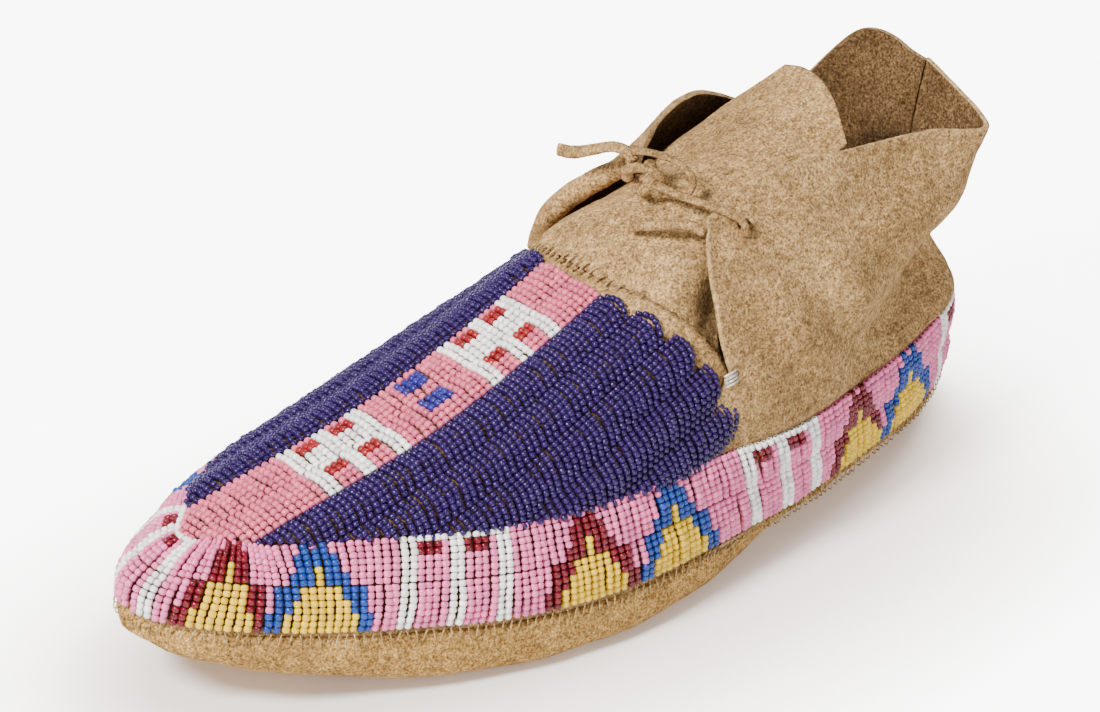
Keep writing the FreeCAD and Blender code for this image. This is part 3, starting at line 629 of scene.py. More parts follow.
def triangle(outline, half):
    """Columns of a stepped triangle from toe to heel. Each string runs up from the sole."""
    tip = "y" * 10 + outline * 3 + "p"
    flank = (
        "y" * 7 + outline * 7,
        "y" * 7 + outline * 5 + "p" * 2,
        "y" * 5 + outline * 4 + "p" * 5,
        "y" * 3 + outline * 4 + "p" * 7,
        outline * 7 + "p" * 7,
        outline * 3 + "p" * 11,
    )
    flank = flank[:2] + flank[8 - half :]
    return flank[::-1] + (tip,) + flank


WHITE_BAR, RED_BLOCK, POST = "w" * 14, "p" * 11 + "rr" + "w", "p" * 13 + "w"
GATE_HALF = (WHITE_BAR,) * 2 + (RED_BLOCK,) * 3 + (POST,)
GATE = GATE_HALF * 2 + (WHITE_BAR,) * 2
RED_PEAK, BLUE_PEAK = triangle("r", 6), triangle("b", 6)
# (figure, distance of its middle from the toe) along each side of the shoe.
OUTER_FIGURES = (
    (GATE, -8), (triangle("r", 5), 21.5), (BLUE_PEAK, 45.5), (GATE, 81), (RED_PEAK, 118),
    (BLUE_PEAK, 145.5), (GATE, 186), (RED_PEAK, 220), (BLUE_PEAK, 243.5), (GATE, 276),
)
INNER_FIGURES = (
    (GATE, 8), (BLUE_PEAK, 40), (RED_PEAK, 66), (GATE, 98), (BLUE_PEAK, 132),
    (RED_PEAK, 158), (GATE, 190), (BLUE_PEAK, 224), (RED_PEAK, 250), (GATE, 280),
)
# How far the rows lean towards the heel as they rise, at distances from the toe.
OUTER_LEAN = ((0, 0), (22, 0.2), (80, 0.28), (118, 0), (186, -0.18), (240, -0.2), (280, 0))
INNER_LEAN = ((0, 0), (22, 0.15), (80, 0.15), (140, 0))


def band_codes(marks, figures):
    """The column of bead colours at each distance from the toe."""
    columns = []
    for mark in marks:
        column = "p" * (2 * LANE_BEADS)
        for figure, middle in figures:
            step = round((mark - middle) / ROW_PITCH + (len(figure) - 1) / 2)
            if 0 <= step < len(figure):
                column = figure[step]
        columns.append(column)
    return columns


def leaning_rows(side, heights, lean):
    """Rows up the band, (row, height, xyz), and their distances from the toe."""
    marks, y_at = outline_y(side, ROW_PITCH)
    slope = along(lean, marks)
    rows = [wall_points(y_at(marks + slope * (h - BAND_MIDDLE)), side, [h])[:, 0] for h in heights]
    return np.stack(rows, 1), marks


def build_band():
    lane = (BAND_HIGH - BAND_LOW) / 2
    beads = (np.arange(LANE_BEADS) + 0.5) * (lane - BAND_GAP) / LANE_BEADS
    heights = np.concatenate([BAND_LOW + beads, BAND_LOW + lane + BAND_GAP + beads])
    outer, outer_marks = leaning_rows(OUTER, heights, OUTER_LEAN)
    inner, inner_marks = leaning_rows(INNER, heights, INNER_LEAN)
    outer_codes = band_codes(outer_marks, OUTER_FIGURES)
    inner_codes = band_codes(inner_marks, INNER_FIGURES)
    # Rows run from the heel along the inner side, round the toe, and back along the outer side.
    rows = np.concatenate([inner[::-1], outer])[:, ::-1]
    codes = [c[::-1] for c in inner_codes[::-1] + outer_codes]
    upper, lower = slice(0, LANE_BEADS), slice(LANE_BEADS, None)
    for node, part in (("band_upper_lane", upper), ("band_lower_lane", lower)):
        lay_rows(node, rows[:, part], [c[part] for c in codes], hump=0.75)


# ---------------- vamp beadwork


def rear_y(x):
    """Where the beadwork on the vamp ends towards the heel."""
    reach = np.where(np.asarray(x) > 0, OUTER_HALF, INNER_HALF)
    return REAR_MIDDLE_Y + REAR_SLANT * (np.abs(x) / reach) ** REAR_POWER


def section(y):
    """One cross-section of the vamp from the inner to the outer seam, and its distances from the ridge."""
    angles = np.linspace(-math.pi / 2, math.pi / 2, 161)
    share = np.sin(angles)
    x = ridge_x(y) + share * half_width(np.full(share.shape, y), np.sign(share))
    path = vamp_point(x, y)
    gone = lengths(path)
    return path, gone - np.interp(ridge_x(y), path[:, 0], gone)


def lane_points(y, offsets):
    """Points across a lane at y, given as distances from the middle of the stripe."""
    path, gone = section(y)
    shift = stripe_x(y) - ridge_x(y)
    return np.stack([np.interp(offsets + shift, gone, path[:, k]) for k in range(3)], -1)


# How far a bead of the vamp may lean over the edge of the band.
BEAD_MARGIN = 0.6


def band_top():
    """Curve of the band's upper edge round the front, as (y, x) on each side."""
    table = {}
    for side in (OUTER, INNER):
        y = HEEL_Y * np.cos(np.linspace(math.pi * 0.35, math.pi, 80))
        edge = wall_points(y, side, [BAND_HIGH + BEAD_MARGIN / 2])[:, 0]
        order = np.argsort(edge[:, 1])
        table[side] = edge[order][:, 1], edge[order][:, 0]
    return table


def inside_band(point, table):
    """Whether a point of the vamp lies inside the band's upper edge."""
    side = OUTER if point[0] > ridge_x(point[1]) else INNER
    ys, xs = table[side]
    if point[1] < ys[0]:
        return False
    edge = np.interp(point[1], ys, xs)
    return (edge - point[0]) * side > -BEAD_MARGIN


STRIPE_HALF = 11.5
LANE_GAP, FIELD_MARGIN = 0.05, 0.5
# The blue lanes share out the width that is free here.
FIELD_WIDTH_Y = 17.0
# The rows along the stripe from the tongue to the toe, each from the inner to the outer side.
LADDER = ("wwwwwwwwwwww", "wwwwwwwwwwww") + ("skkwwwwkksss",) * 3
LADDER = LADDER * 2 + ("wwwwwwwwwwww",) * 2
SQUARES = ("scccsscccsss",) * 4
PLAIN = "s" * 12
STRIPE_ROWS = (PLAIN,) * 7 + LADDER + (PLAIN,) * 4 + SQUARES + (PLAIN,) * 5 + LADDER
# How far the first row lies before the rear edge, and how near the toe a row can be.
REAR_INSET, TOE_INSET = 1.5, 6
# Each kind of lane: (a name that is not read, scallop, hump, fill).
STRIPE_LANE = ("pink_beads", 0.4, 0.5, 0.91)
FIELD_LANE = ("blue_beads", 2.3, 1.05, 0.86)


def lane_rows(low, high, beads, table, scallop):
    """Rows of a lane from its rear end to the band, and which beads are there."""
    offsets = low + (np.arange(beads) + 0.5) * (high - low) / beads
    middle = (low + high) / 2
    sag = scallop * (((offsets - middle) / (high - low) * 2) ** 2)
    y = float(rear_y(lane_points(REAR_MIDDLE_Y, np.array([middle]))[0, 0])) - REAR_INSET
    rows, present = [], []
    while y > TOE_Y + TOE_INSET:
        points = lane_points(y, offsets)
        inside = [inside_band(p, table) for p in points]
        if not any(inside):
            break
        rows.append(points)
        present.append(inside)
        slope = lane_points(y - 1, offsets)[beads // 2] - points[beads // 2]
        y -= ROW_PITCH / max(np.linalg.norm(slope), 1)
    rows = np.array(rows)
    # Every row bows, and the first ones bow most, which makes the scalloped rear edge.
    bend = (0.35 + 0.65 * np.exp(-np.arange(len(rows)) / 3.0))[:, None] * sag[None]
    forward = unit(np.gradient(rows, axis=0)) * bend[..., None]
    return rows + forward, present


def build_lane(node, low, high, table, pattern, kind):
    """A lane between two distances from the middle of the stripe. pattern has the bead letters by row."""
    slot, scallop, hump, fill = kind
    rows, present = lane_rows(low, high, len(pattern[0]), table, scallop)
    codes = []
    for n, inside in enumerate(present):
        row = pattern[min(n, len(pattern) - 1)]
        codes.append("".join(c if ok else " " for c, ok in zip(row, inside)))
    lay_rows(node, rows[:, ::-1], [c[::-1] for c in codes], hump, fill)


def build_stripe(table):
    rows = STRIPE_ROWS + (PLAIN,)
    inner, outer = [r[:STRIPE_BEADS] for r in rows], [r[STRIPE_BEADS:] for r in rows]
    build_lane("stripe_inner_lane", -STRIPE_HALF, -LANE_GAP, table, inner, STRIPE_LANE)
    build_lane("stripe_outer_lane", LANE_GAP, STRIPE_HALF, table, outer, STRIPE_LANE)


def build_fields(table):
    _, gone = section(FIELD_WIDTH_Y)
    for side, word, count in ((OUTER, "outer", 5), (INNER, "inner", 4)):
        reach = abs(gone[-1] if side > 0 else gone[0]) - BAND_HIGH - FIELD_MARGIN
        width = (reach - STRIPE_HALF) / count
        for n in range(count):
            near = STRIPE_HALF + n * width
            low, high = sorted((side * (near + LANE_GAP), side * (near + width - LANE_GAP)))
            build_lane(f"field_{word}_lane_{n + 1}", low, high, table, ["n" * LANE_BEADS], FIELD_LANE)


# ---------------- hide

HIDE_THICKNESS, TONGUE_THICKNESS = 1.7, 1.5
# How far the vamp's hide carries on behind the beads, and the widths of its bare strips at the rear
# edge and above the sole seam.
VAMP_TAIL, BARE_REAR, BARE_FOOT = 3.4, 2.0, 3.0


def soften(grid, normals, amount, size, seed):
    """Gentle unevenness of worn hide."""
    broad = fractal(grid, size, seed) * amount
    fine = fractal(grid, size / 5, seed + 1) * amount * 0.22
    return grid + normals * (broad + fine)[..., None]


def build_vamp_hide():
    """The hide under the beads. There it is dark brown, a painted shade for the gaps between the beads,
    and along its bare margins it is plain hide.
    """
    stations = np.linspace(0.004, 1, 140) ** 1.5
    shares = np.sin(np.linspace(-math.pi / 2, math.pi / 2, 121))
    reach = np.where(shares > 0, OUTER_HALF, INNER_HALF)
    y = TOE_Y + (rear_y(shares * reach)[None] + VAMP_TAIL - TOE_Y) * stations[:, None]
    x = ridge_x(y) + shares[None] * half_width(y, np.sign(shares)[None])
    grid = vamp_point(x, y)
    normals = -grid_normals(grid)
    rise = smoothstep(-6, 0, y - rear_y(x))[..., None]
    grid = grid - normals * BEAD_SINK * (1 - 0.8 * rise)
    # Outside and cut edge carry the painted shade; faces on the bare strips are given plain hide below.
    shade_painted_hides = (HIDE_PAINTED_SHADE_UNDER_BEADS, HIDE_INSIDE_PAINTED_SHADE, HIDE_PAINTED_SHADE_UNDER_BEADS, HIDE)
    obj = thick_sheet("vamp_hide_suede", grid, HIDE_THICKNESS, shade_painted_hides, normals)
    for face in obj.data.polygons:
        place = np.array(face.center) / MM
        bare = place[1] > rear_y(place[0]) - BARE_REAR or place[2] < seam_z(place[1]) + BARE_FOOT
        if bare and face.material_index == 0:
            face.material_index = 3
    stand_in(obj, "shoe", "vamp_hide")


def crease(grid, normals, start, end, width, depth):
    """A valley (or, with a negative depth, a ridge) along a straight line through the hide."""
    start, end = np.array(start, float), np.array(end, float)
    run = end - start
    share = np.clip(((grid - start) @ run) / (run @ run), 0, 1)
    away = np.linalg.norm(grid - (start + share[..., None] * run), axis=-1)
    fade = np.sin(np.pi * np.clip(share, 0.04, 0.96)) ** 0.5
    return grid - normals * (depth * fade * np.exp(-((away / width) ** 2)))[..., None]


def bulge(grid, normals, centre, width, height):
    """A soft swelling round a point."""
    away = np.linalg.norm(grid - np.array(centre, float), axis=-1)
    return grid + normals * (height * np.exp(-((away / width) ** 2)))[..., None]


def pleats(grid, normals, share):
    """Small gathers that run back from the seam at the start of the grid."""
    height, spacing, reach = 0.7, 4.4, 0.05
    fade = np.exp(-share / reach) * smoothstep(0, 0.01, share)
    uneven = 1.8 * np.sin(lengths(grid) / 6.0)
    wave = np.sin(lengths(grid) * 2 * math.pi / spacing + uneven)
    return grid + normals * (height * fade[:, None] * wave)[..., None]


def punch_hole(grid, normals, keep, centre, radius):
    """A round hole through the sheet at the point of the grid nearest to centre."""
    away = np.linalg.norm(grid - centre, axis=-1)
    i, j = np.unravel_index(np.argmin(away), away.shape)
    centre, axis = grid[i, j], normals[i, j]
    flat = grid - centre
    flat = flat - (flat @ axis)[..., None] * axis
    spread = np.linalg.norm(flat, axis=-1)
    middle = (flat[1:, 1:] + flat[:-1, :-1] + flat[1:, :-1] + flat[:-1, 1:]) / 4
    near = away < 4 * radius
    inside = (np.linalg.norm(middle, axis=-1) < radius * 0.95) & near[1:, 1:]
    rim = near & (spread > radius * 0.4) & (spread < radius * 1.35)
    moved = grid + unit(flat) * (radius - spread)[..., None]
    return np.where(rim[..., None], moved, grid), keep & ~inside


APRON_ROWS, APRON_STEP = 8, 1.5
ROLL_RADIUS = 0.9


def rolled_edge(sheet, side):
    """Columns that carry on from the front edge of the sheet and curl outwards. The last one meets it."""
    way = unit(sheet[0] - sheet[2])
    out = np.cross(unit(np.gradient(sheet[0], axis=0)), way)
    out = unit(out) * np.sign(side * out[:, :1])
    turn = np.linspace(1.25 * math.pi, 0, APRON_ROWS + 1)[:-1, None, None]
    radius = (ROLL_RADIUS * smoothstep(0, 16, np.arange(len(way))))[None, :, None]
    return sheet[0] + way * radius * np.sin(turn) + out * radius * (1 - np.cos(turn))


def quarter_grid(net, side):
    """The quarter with an apron at its foot, which runs forward over the vamp and under its beads.

    Returns its points, its normals and the faces to keep. The upper half of the front edge is free, and
    on the inner side it is rolled.
    """
    s, t = np.linspace(0, 1, 141), np.linspace(0, 1, 81)
    grid = net_grid(net, s, t)
    front = grid[0]
    share = np.abs(front[:, 0] - ridge_x(front[:, 1])) / half_width(front[:, 1], side)
    excess = front[:, 2] - vamp_point(front[:, 0], front[:, 1])[:, 2]
    apron = []
    for n in range(APRON_ROWS, 0, -1):
        y = front[:, 1] - n * APRON_STEP
        x = ridge_x(y) + side * share * half_width(y, side)
        row = vamp_point(x, y)
        above = excess * (1 - n / APRON_ROWS) ** 2 + 0.3
        row[:, 2] += above - BEAD_SINK * smoothstep(2, 6, n)
        apron.append(row)
    grid = np.concatenate([apron, grid])
    keep = np.ones((grid.shape[0] - 1, grid.shape[1] - 1), bool)
    free = t > 0.5
    keep[:APRON_ROWS, t[:-1] >= 0.5] = False
    if side < 0:
        grid[:APRON_ROWS, free] = rolled_edge(grid[APRON_ROWS:, free], side)
        keep[:APRON_ROWS, 1:] |= (free[1:-1] & free[2:])[None]
    else:
        grid[:APRON_ROWS, free] = grid[APRON_ROWS, free]
    normals = grid_normals(grid)
    if side > 0:
        normals[:APRON_ROWS, free] = normals[APRON_ROWS + 1, free]
    return grid, normals * np.sign(side * normals[len(s) // 2, len(t) // 2, 0]), keep


EYELETS = {"outer": (28.0, 43.0, 87.5), "inner": (-24.0, 48.0, 83.2)}
EYELET_RADIUS = 2.5


def fold_between(obj):
    """Bakes the object's transform into its mesh."""
    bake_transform(obj)


# Each crease is (start, end, width, depth). A negative depth stands up.
OUTER_CREASES = (
    ((20, 122, 57), (41, 74, 44), 8.0, 7.0),
    ((24, 120, 70), (38, 80, 74), 6.0, -2.6),
    ((20, 122, 42), (34, 104, 38), 6.0, -2.0),
    ((34, 46, 82), (42, 68, 56), 7.0, 2.2),
    ((44, 30, 66), (47, 52, 44), 6.0, 1.8),
    ((43, 58, 46), (43, 42, 70), 6.0, -2.0),
    ((34, 64, 82), (29, 98, 86), 6.0, 1.8),
    ((40, 66, 72), (42, 74, 54), 6.0, -1.6),
    ((41, 60, 66), (39, 88, 58), 5.0, -1.3),
)
TONGUE_CREASES = (
    ((-12, 11, 74), (-8, 28, 84), 1.8, 0.9),
    ((-4, 9, 74), (1, 25, 83), 1.6, 0.7),
    ((6, 10, 74), (16, 30, 82), 2.0, 1.0),
    ((16, 12, 72), (27, 26, 76), 2.2, 1.0),
    ((-20, 46, 86), (16, 62, 92), 5.0, 1.0),
)
# Each swelling is (centre, width, height). A negative height is a hollow.
TONGUE_BULGES = (((-18, 21, 76), 11.0, 2.4), ((35, 34, 68), 10.0, -6.5), ((20, 22, 76), 7.0, 1.2))
# The tongue's sheet starts a little behind the first row of its net.
TONGUE_START = 0.025


def flare(grid, normals):
    """Lifts the front edge of the flap away from the tongue, and turns the collar out a little."""
    front_lift, collar_lift, reach = 2.2, 0.7, 7.0
    columns = np.maximum(np.arange(grid.shape[0]) - APRON_ROWS, 0)
    rows = np.linspace(0, 1, grid.shape[1])
    front = np.exp(-columns / reach)[:, None] * smoothstep(0.55, 0.75, rows)[None]
    collar = smoothstep(0.90, 1.0, rows)[None]
    return grid + normals * (front_lift * front + collar_lift * collar)[..., None]


def worn_shape(grid, normals, side):
    """The quarter's hide above the band, uneven, and creased on the outer side of the shoe."""
    grid = soften(grid, normals, 0.9, 26.0, 3 + side)
    if side == INNER:
        return grid
    for start, end, width, depth in OUTER_CREASES:
        grid = crease(grid, normals, start, end, width, depth)
    return flare(grid, normals)


def build_quarter(word, net, side):
    """One quarter with its flap. Under the band it lies deeper, by as much as the beads press in."""
    grid, normals, keep = quarter_grid(net, side)
    above_band = smoothstep(BAND_HIGH - 1.5, BAND_HIGH + 2.5, lengths(grid))[..., None]
    shaped = worn_shape(grid, normals, side)
    grid = (grid - normals * BEAD_SINK) * (1 - above_band) + shaped * above_band
    grid[-1, :, 0] = 0.0
    grid, keep = punch_hole(grid, normals, keep, np.array(EYELETS[word]), EYELET_RADIUS)
    obj = thick_sheet(f"{word}_quarter_suede", grid, HIDE_THICKNESS, HIDES, normals, keep)
    # The apron and the rolled edge come first, and both of their sides are suede.
    both_sides = 2 * int(keep[: APRON_ROWS + 1].sum())
    for face in obj.data.polygons[:both_sides]:
        face.material_index = 0
    fold_between(obj)
    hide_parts(f"{word}_quarter", f"{word}_flap")


def build_quarters():
    build_quarter("outer", OUTER_NET, OUTER)
    build_quarter("inner", INNER_NET, INNER)


def build_tongue():
    s, t = np.linspace(TONGUE_START, 1, 121), np.linspace(0, 1, 81)
    grid = net_grid(TONGUE_NET, s, t)
    normals = grid_normals(grid)
    normals *= np.sign(normals[60, 40, 2])
    grid = soften(grid, normals, 0.8, 20.0, 9)
    for centre, width, height in TONGUE_BULGES:
        grid = bulge(grid, normals, centre, width, height)
    for start, end, width, depth in TONGUE_CREASES:
        grid = crease(grid, normals, start, end, width, depth)
    grid = pleats(grid, normals, s - s[0])
    obj = thick_sheet("tongue_suede", grid, TONGUE_THICKNESS, HIDES, normals)
    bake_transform(obj)
    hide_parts("tongue_base", "tongue")


# ---------------- sole


SOLE_THICKNESS, SOLE_DROP, SOLE_END = 3.0, 0.8, 0.03


def build_sole():
    """The dished sole. Its flat stays flat, and the rest is a little uneven."""
    turns = np.linspace(SOLE_END, math.pi - SOLE_END, 170)
    stations = TOE_Y + (HEEL_Y - TOE_Y) * (1 - np.cos(turns)) / 2
    shares = np.sin(np.linspace(-math.pi / 2, math.pi / 2, 91))
    y, share = np.meshgrid(stations, shares, indexing="ij")
    low = along(SOLE_HEIGHT, length_share(y)) - SOLE_DROP
    upturn = np.abs(share) ** along(SOLE_EDGE_POWER, length_share(y))
    z = low + (seam_z(y) - low) * upturn
    spread = 1 + along(SOLE_BULGE, length_share(y)) * (1 - upturn) * np.abs(share)
    x = ridge_x(y) + share * half_width(y, np.sign(share)) * spread
    grid = np.stack([x, y, np.maximum(z, 0)], -1)
    normals = grid_normals(grid)
    normals *= np.sign(-normals[75, 45, 2])
    lifted = soften(grid, normals, 0.75, 24.0, 12)
    lifted[..., 2] = np.where(grid[..., 2] < 0.05, 0, np.maximum(lifted[..., 2], 0))
    obj = thick_sheet("rawhide_sole_shell", lifted, SOLE_THICKNESS, (RAWHIDE,) * 3, normals)
    stand_in(obj, "shoe", "rawhide_sole")


# ---------------- thong


def tube(points, width, thickness, turn=0.0, sides=10, samples=60):
    """Vertices and faces of an oval strip along a smooth line. turn is its twist from end to end."""
    points = np.array(points, float)
    knots = np.concatenate([[0], np.cumsum(np.linalg.norm(np.diff(points, axis=0), axis=1))])
    path = weights(knots, np.linspace(0, knots[-1], samples)) @ points
    tangent = unit(np.gradient(path, axis=0))
    angles = 2 * math.pi * np.arange(sides)[:, None] / sides
    wide, tall = np.cos(angles) * width / 2, np.sin(angles) * thickness / 2
    up = np.array(UP)
    verts, faces = [], []
    for n in range(samples):
        up = unit(up - tangent[n] * (up @ tangent[n]))
        side = np.cross(tangent[n], up)
        twist = turn * n / samples
        across = wide * math.cos(twist) - tall * math.sin(twist)
        along_up = wide * math.sin(twist) + tall * math.cos(twist)
        verts += list(path[n] + side * across + up * along_up)
    for n in range(samples - 1):
        for k in range(sides):
            a, b = n * sides + k, n * sides + (k + 1) % sides
            faces.append((a, b, b + sides, a + sides))
    faces.append(tuple(range(sides))[::-1])
    faces.append(tuple((samples - 1) * sides + k for k in range(sides)))
    return verts, faces


def joined(parts):
    """The vertices and faces of several tubes as one."""
    verts, faces = [], []
    for points, corners in parts:
        faces += [tuple(i + len(verts) for i in face) for face in corners]
        verts += points
    return np.array(verts), faces


THONG_ROUGH = 0.03


def build_strands(name, strands, body, node):
    """A piece of thong. Each strand is (points, width, thickness, twist)."""
    verts, faces = joined([tube(*strand) for strand in strands])
    obj = new_mesh(name, verts + rng.normal(0, THONG_ROUGH, verts.shape), faces, [THONG])
    stand_in(obj, body, node)


OUTER_STRAND = (
    (1, 30.5, 94.4), (5, 31.0, 93.6), (12, 33, 92.6), (20, 36.4, 91.6),
    (24.4, 39.0, 90.4), (27.2, 40.9, 88.8), (27.9, 41.9, 86.6), (26.6, 42.6, 83.6),
)
INNER_STRAND = (
    (-4, 32, 94.8), (-9.5, 35.5, 93.2), (-14, 40, 91.5),
    (-22, 46.5, 87.5), (-24, 48, 83.2), (-22, 48, 80.5),
)
# The knot is three turns that pass through each other.
KNOT_LOOP = (
    (-4.2, 29.9, 91.8), (-3.0, 28.7, 95.1), (1.1, 29.3, 97.3), (4.6, 32.2, 95.7),
    (4.0, 34.6, 92.3), (-0.7, 35.2, 90.5), (-4.2, 32.2, 91.2),
)
KNOT_WRAP = (
    (-2.4, 35.8, 95.1), (1.1, 32.8, 96.5), (4.4, 29.9, 94.5), (2.9, 28.9, 91.2), (-1.3, 30.5, 90.2),
)
KNOT_BOW = (
    (-4.8, 31.6, 99.1), (1.1, 34.0, 99.9), (7.0, 37.0, 98.6),
    (11.2, 38.7, 94.7), (10.3, 37.2, 90.9), (4.6, 34.0, 90.0),
)
UPPER_END = (
    (-3, 31.0, 97.0), (-6, 30.8, 98.8), (-11, 30.5, 98.2),
    (-18, 29.8, 94.8), (-24, 28.2, 92.2), (-28.2, 26.8, 91.8),
)
LOWER_END = (
    (24, 31.5, 87.2), (19.5, 29.5, 88.2), (15, 26, 87.6), (10.5, 23, 86.6), (7.6, 21.2, 86),
)
LOWER_CURL = (
    (9.0, 23.0, 86.8), (7.6, 22.2, 87.6), (6.6, 20.8, 86.6), (7.4, 20.6, 85.4), (9.0, 21.8, 85.4),
)
# (name, body, node, strands)
THONG_PIECES = (
    ("thong_outer_strand_strip", "outer_flap", "thong_outer_strand", ((OUTER_STRAND, 3.2, 2.1, 0.8),)),
    ("thong_inner_strand_strip", "inner_flap", "thong_inner_strand", ((INNER_STRAND, 3.2, 2.0, 0.8),)),
    (
        "thong_knot_wraps", "inner_flap", "thong_knot",
        ((KNOT_LOOP, 3.3, 2.3, 0.5), (KNOT_WRAP, 3.3, 2.3, 0.6), (KNOT_BOW, 3.2, 1.8, 1.0)),
    ),
    ("thong_upper_end_strip", "thong_upper_end", "thong_upper_end", ((UPPER_END, 3.5, 2.2, 1.4),)),
    (
        "thong_lower_end_strip", "thong_lower_end", "thong_lower_end",
        ((LOWER_END, 3.0, 2.6, 0.9), (LOWER_CURL, 1.8, 1.5, 0.3)),
    ),
)


def build_thong():
    for name, body, node, strands in THONG_PIECES:
        build_strands(name, strands, body, node)


STOPPER_RADIUS, STOPPER_TILT = 1.6, 1.05


def build_stoppers():
    """A small knot of three rings behind each hole."""
    angles = np.linspace(0, 2 * math.pi, 7)
    across, up = np.cos(angles) * STOPPER_RADIUS, np.sin(angles) * STOPPER_RADIUS
    for word in ("outer", "inner"):
        low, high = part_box(f"thong_{word}_stopper")
        centre = np.array((low + high) / 2) / MM
        rings = []
        for k in range(3):
            tilt = k * STOPPER_TILT
            ring = np.stack([across, up * math.cos(tilt), up * math.sin(tilt)], -1)
            rings.append((ring + centre, 2.2, 1.5, 0.4))
        build_strands(f"thong_{word}_stopper_knot", rings, f"{word}_flap", f"thong_{word}_stopper")


# ---------------- sewing

SOLE_STITCH_PITCH = 2.3
# Points of one thread, measured from where it crosses its seam.
HEEL_STITCH = ((-1.7, -1.6, -0.4), (-1.3, 0.0, -0.3), (0, 0.3, 0.2), (1.3, 0.0, 0.7), (1.7, -1.6, 0.8))
THROAT_STITCH = ((0, -2.0, -0.4), (0.5, -0.8, 0.1), (0.5, 0.8, 0.3), (0, 2.0, 0.3))


def stitches(name, threads, radius, node, material=SINEW):
    """Short bowed threads, each through its own few points."""
    verts, faces = joined([tube(points, radius * 2, radius * 2, sides=6, samples=7) for points in threads])
    stand_in(new_mesh(name, verts, faces, [material]), "shoe", node)


def build_sole_stitches():
    """Whip stitches over the sole's rim, from the rawhide up into the hide wall."""
    threads = []
    for side in (OUTER, INNER):
        marks, y_at = outline_y(side, SOLE_STITCH_PITCH)
        y = y_at(marks)
        seam, wall = seam_point(y, side), wall_points(y, side, [2.0])[:, 0]
        runs = unit(np.gradient(seam, axis=0))
        level = np.cross(runs, UP)
        level[..., 2] = 0
        ways = outward(seam, unit(level))
        for rim, high, way, run in zip(seam, wall, ways, runs):
            lean = run * rng.uniform(-0.4, 0.8)
            low = rim + way * 0.65 - (0, 0, rng.uniform(0.7, 1.3)) - lean
            over = rim + way * 0.55 + (0, 0, 0.9)
            high = high + lean
            threads.append([low - way * 0.9, low, over, high + way * 0.2, high - way * 1.2])
    stitches("sole_seam_sinew", threads, 0.2, "sole_seam_stitches")


def build_heel_stitches():
    seam = net_grid(OUTER_NET, [1.0], np.linspace(0, 1, 80))[0]
    places = at_distance(seam, np.arange(29, 70, 3.4))
    threads = [[place + point for point in HEEL_STITCH] for place in places]
    stitches("heel_seam_sinew", threads, 0.3, "heel_seam_stitches")


def build_tongue_stitches():
    """Uneven stitches across the seam of the tongue and the vamp, each a little askew."""
    askew, lift = np.array([0.5, 0, -0.1]), np.array([0, -0.3, 0.9])
    low, high = net_grid(TONGUE_NET, [TONGUE_START, 0.06], np.linspace(0.06, 0.94, 34))
    threads = []
    for place, run in zip(low, unit(high - low)):
        start, end = place - run * 1.2, place + run * rng.uniform(1.4, 2.4)
        middle = (start + end) / 2 + lift + askew
        end = end + askew * 2
        threads.append([start - lift, start + lift * 0.5, middle, end + lift * 0.6, end - lift])
    stitches("tongue_seam_sinew", threads, 0.33, "tongue_seam_stitches")


def build_throat_stays():
    """Four pale threads side by side at the foot of each flap's front edge."""
    for word, side, net in (("outer", OUTER, OUTER_NET), ("inner", INNER, INNER_NET)):
        throat = net_grid(net, [0.0], [0.5])[0, 0]
        mirror = np.array([side, 1, 1])
        places = [throat + np.array([0.3 + 0.25 * n, -1.0, 0.4 - 0.9 * n]) * mirror for n in range(4)]
        threads = [[place + point * mirror for point in THROAT_STITCH] for place in places]
        stitches(f"{word}_throat_sinew", threads, 0.33, f"{word}_throat_stay", PALE_THREAD)


# ---------------- stage


def area_light(name, place, target, size, power, colour=(1, 1, 1)):
    """A round lamp. size is its width and power is in watts."""
    light = bpy.data.lights.new(name, "AREA")
    light.shape = "DISK"
    light.size = size
    light.energy = power
    light.color = colour
    obj = bpy.data.objects.new(name, light)
    obj.location = place
    obj.rotation_euler = (Vector(target) - Vector(place)).to_track_quat("-Z", "Y").to_euler()
    bpy.context.scene.collection.objects.link(obj)


FLOOR_HALF = 3.0
GLOW, DAYLIGHT = 7.5, 0.4
# The contact shadow: how far and which way the floor looks for the shoe, and its colour from full to none.
SHADOW_REACH, SHADOW_LEAN = 0.085, (-0.30, 0.52, 0.80)
SHADOW = (
    (0.42, (0.035, 0.022, 0.014)), (0.72, (0.24, 0.20, 0.175)),
    (0.88, (0.58, 0.55, 0.53)), (1.0, (1.0, 0.985, 0.97)),
)


def camera_glow(tree, socket, seen, unseen):
    """Sets a strength to seen where the camera looks straight at it, and to unseen as a light."""
    path = tree.nodes.new("ShaderNodeLightPath")
    strength = tree.nodes.new("ShaderNodeMath")
    strength.operation = "MULTIPLY_ADD"
    strength.inputs[1].default_value = seen - unseen
    strength.inputs[2].default_value = unseen
    tree.links.new(path.outputs["Is Camera Ray"], strength.inputs[0])
    tree.links.new(strength.outputs[0], socket)


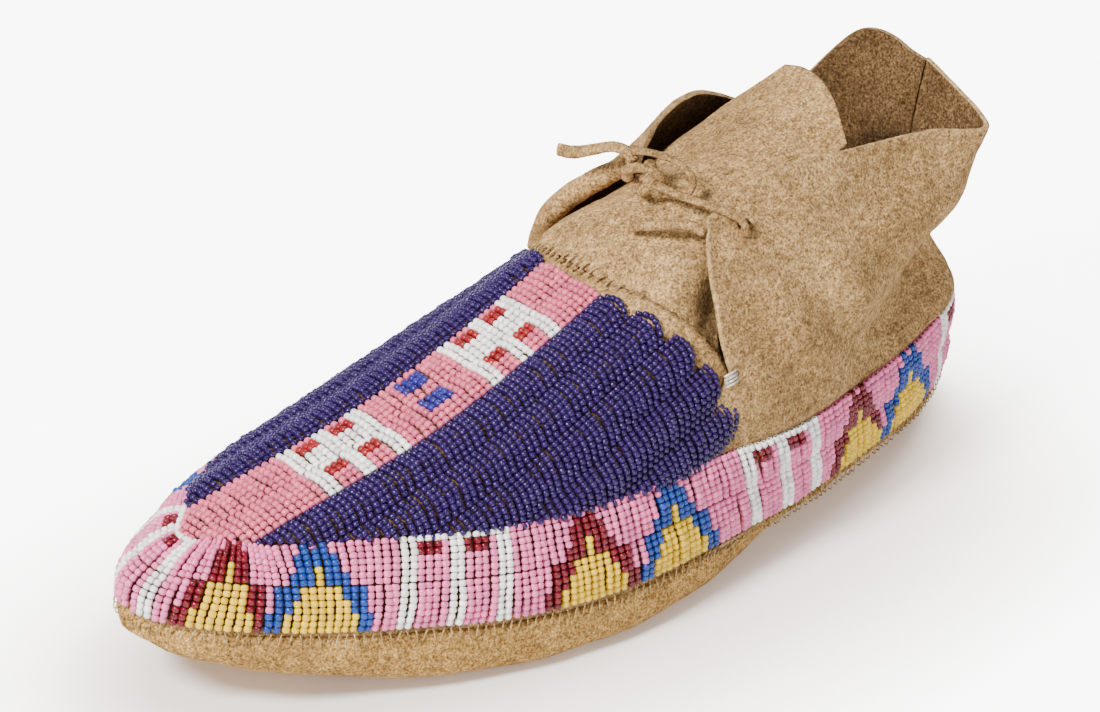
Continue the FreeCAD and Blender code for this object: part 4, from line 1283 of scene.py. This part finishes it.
def paper(tree, shader):
    """Pale paper that glows to the camera alone, and is darker near the shoe."""
    cloud = noise_node(tree, 3.0, 2, 0.5)
    tone = ramp(tree, cloud, ((0.3, (0.86, 0.855, 0.85)), (0.7, (0.89, 0.885, 0.88))))
    tree.links.new(tone, shader.inputs["Base Color"])
    set_inputs(shader, {"Roughness": 0.8})
    camera_glow(tree, shader.inputs["Emission Strength"], GLOW, 0)
    shade = tree.nodes.new("ShaderNodeAmbientOcclusion")
    shade.samples = 16
    set_inputs(shade, {"Distance": SHADOW_REACH})
    lean = tree.nodes.new("ShaderNodeCombineXYZ")
    set_inputs(lean, dict(zip("XYZ", SHADOW_LEAN)))
    tree.links.new(lean.outputs["Vector"], shade.inputs["Normal"])
    tree.links.new(ramp(tree, shade.outputs["AO"], SHADOW), shader.inputs["Emission Color"])


def build_stage():
    corners = np.array([(-1, -1, 0), (1, -1, 0), (1, 1, 0), (-1, 1, 0)]) * FLOOR_HALF / MM
    new_mesh("floor", corners, [(0, 1, 2, 3)], [node_material("pale_paper", paper)])
    centre = (0, 0, 0.04)
    area_light("key", (0.05, -1.10, 1.20), centre, 0.45, 54, (1.0, 0.98, 0.95))
    area_light("fill", (1.5, -0.5, 0.6), centre, 1.2, 13, (1.0, 0.99, 0.98))
    area_light("back", (-0.6, 1.2, 1.2), centre, 0.8, 10)
    world = bpy.data.worlds.new("studio")
    world.use_nodes = True
    background = world.node_tree.nodes["Background"]
    set_inputs(background, {"Color": (0.97, 0.975, 1.0, 1)})
    camera_glow(world.node_tree, background.inputs["Strength"], GLOW, DAYLIGHT)
    bpy.context.scene.world = world


def build_camera():
    """Looks from the toe's outer side, 30 degrees down."""
    azimuth, elevation, distance = math.radians(50), math.radians(30), 1.5
    target = Vector((0, -0.0055, 0.040))
    level = math.cos(elevation)
    back = Vector((math.sin(azimuth) * level, -math.cos(azimuth) * level, math.sin(elevation)))
    data = bpy.data.cameras.new("camera")
    data.sensor_width = 36.0
    data.lens = 190.7
    data.shift_x = 0.0156
    data.shift_y = 0.0437
    camera = bpy.data.objects.new("camera", data)
    camera.location = target + back * distance
    camera.rotation_euler = back.to_track_quat("Z", "Y").to_euler()
    bpy.context.scene.collection.objects.link(camera)
    bpy.context.scene.camera = camera


build_sole()
build_vamp_hide()
build_quarters()
build_tongue()
build_band()
band_edge = band_top()
build_stripe(band_edge)
build_fields(band_edge)
build_thong()
build_stoppers()
build_sole_stitches()
build_heel_stitches()
build_tongue_stitches()
build_throat_stays()
build_stage()
build_camera()
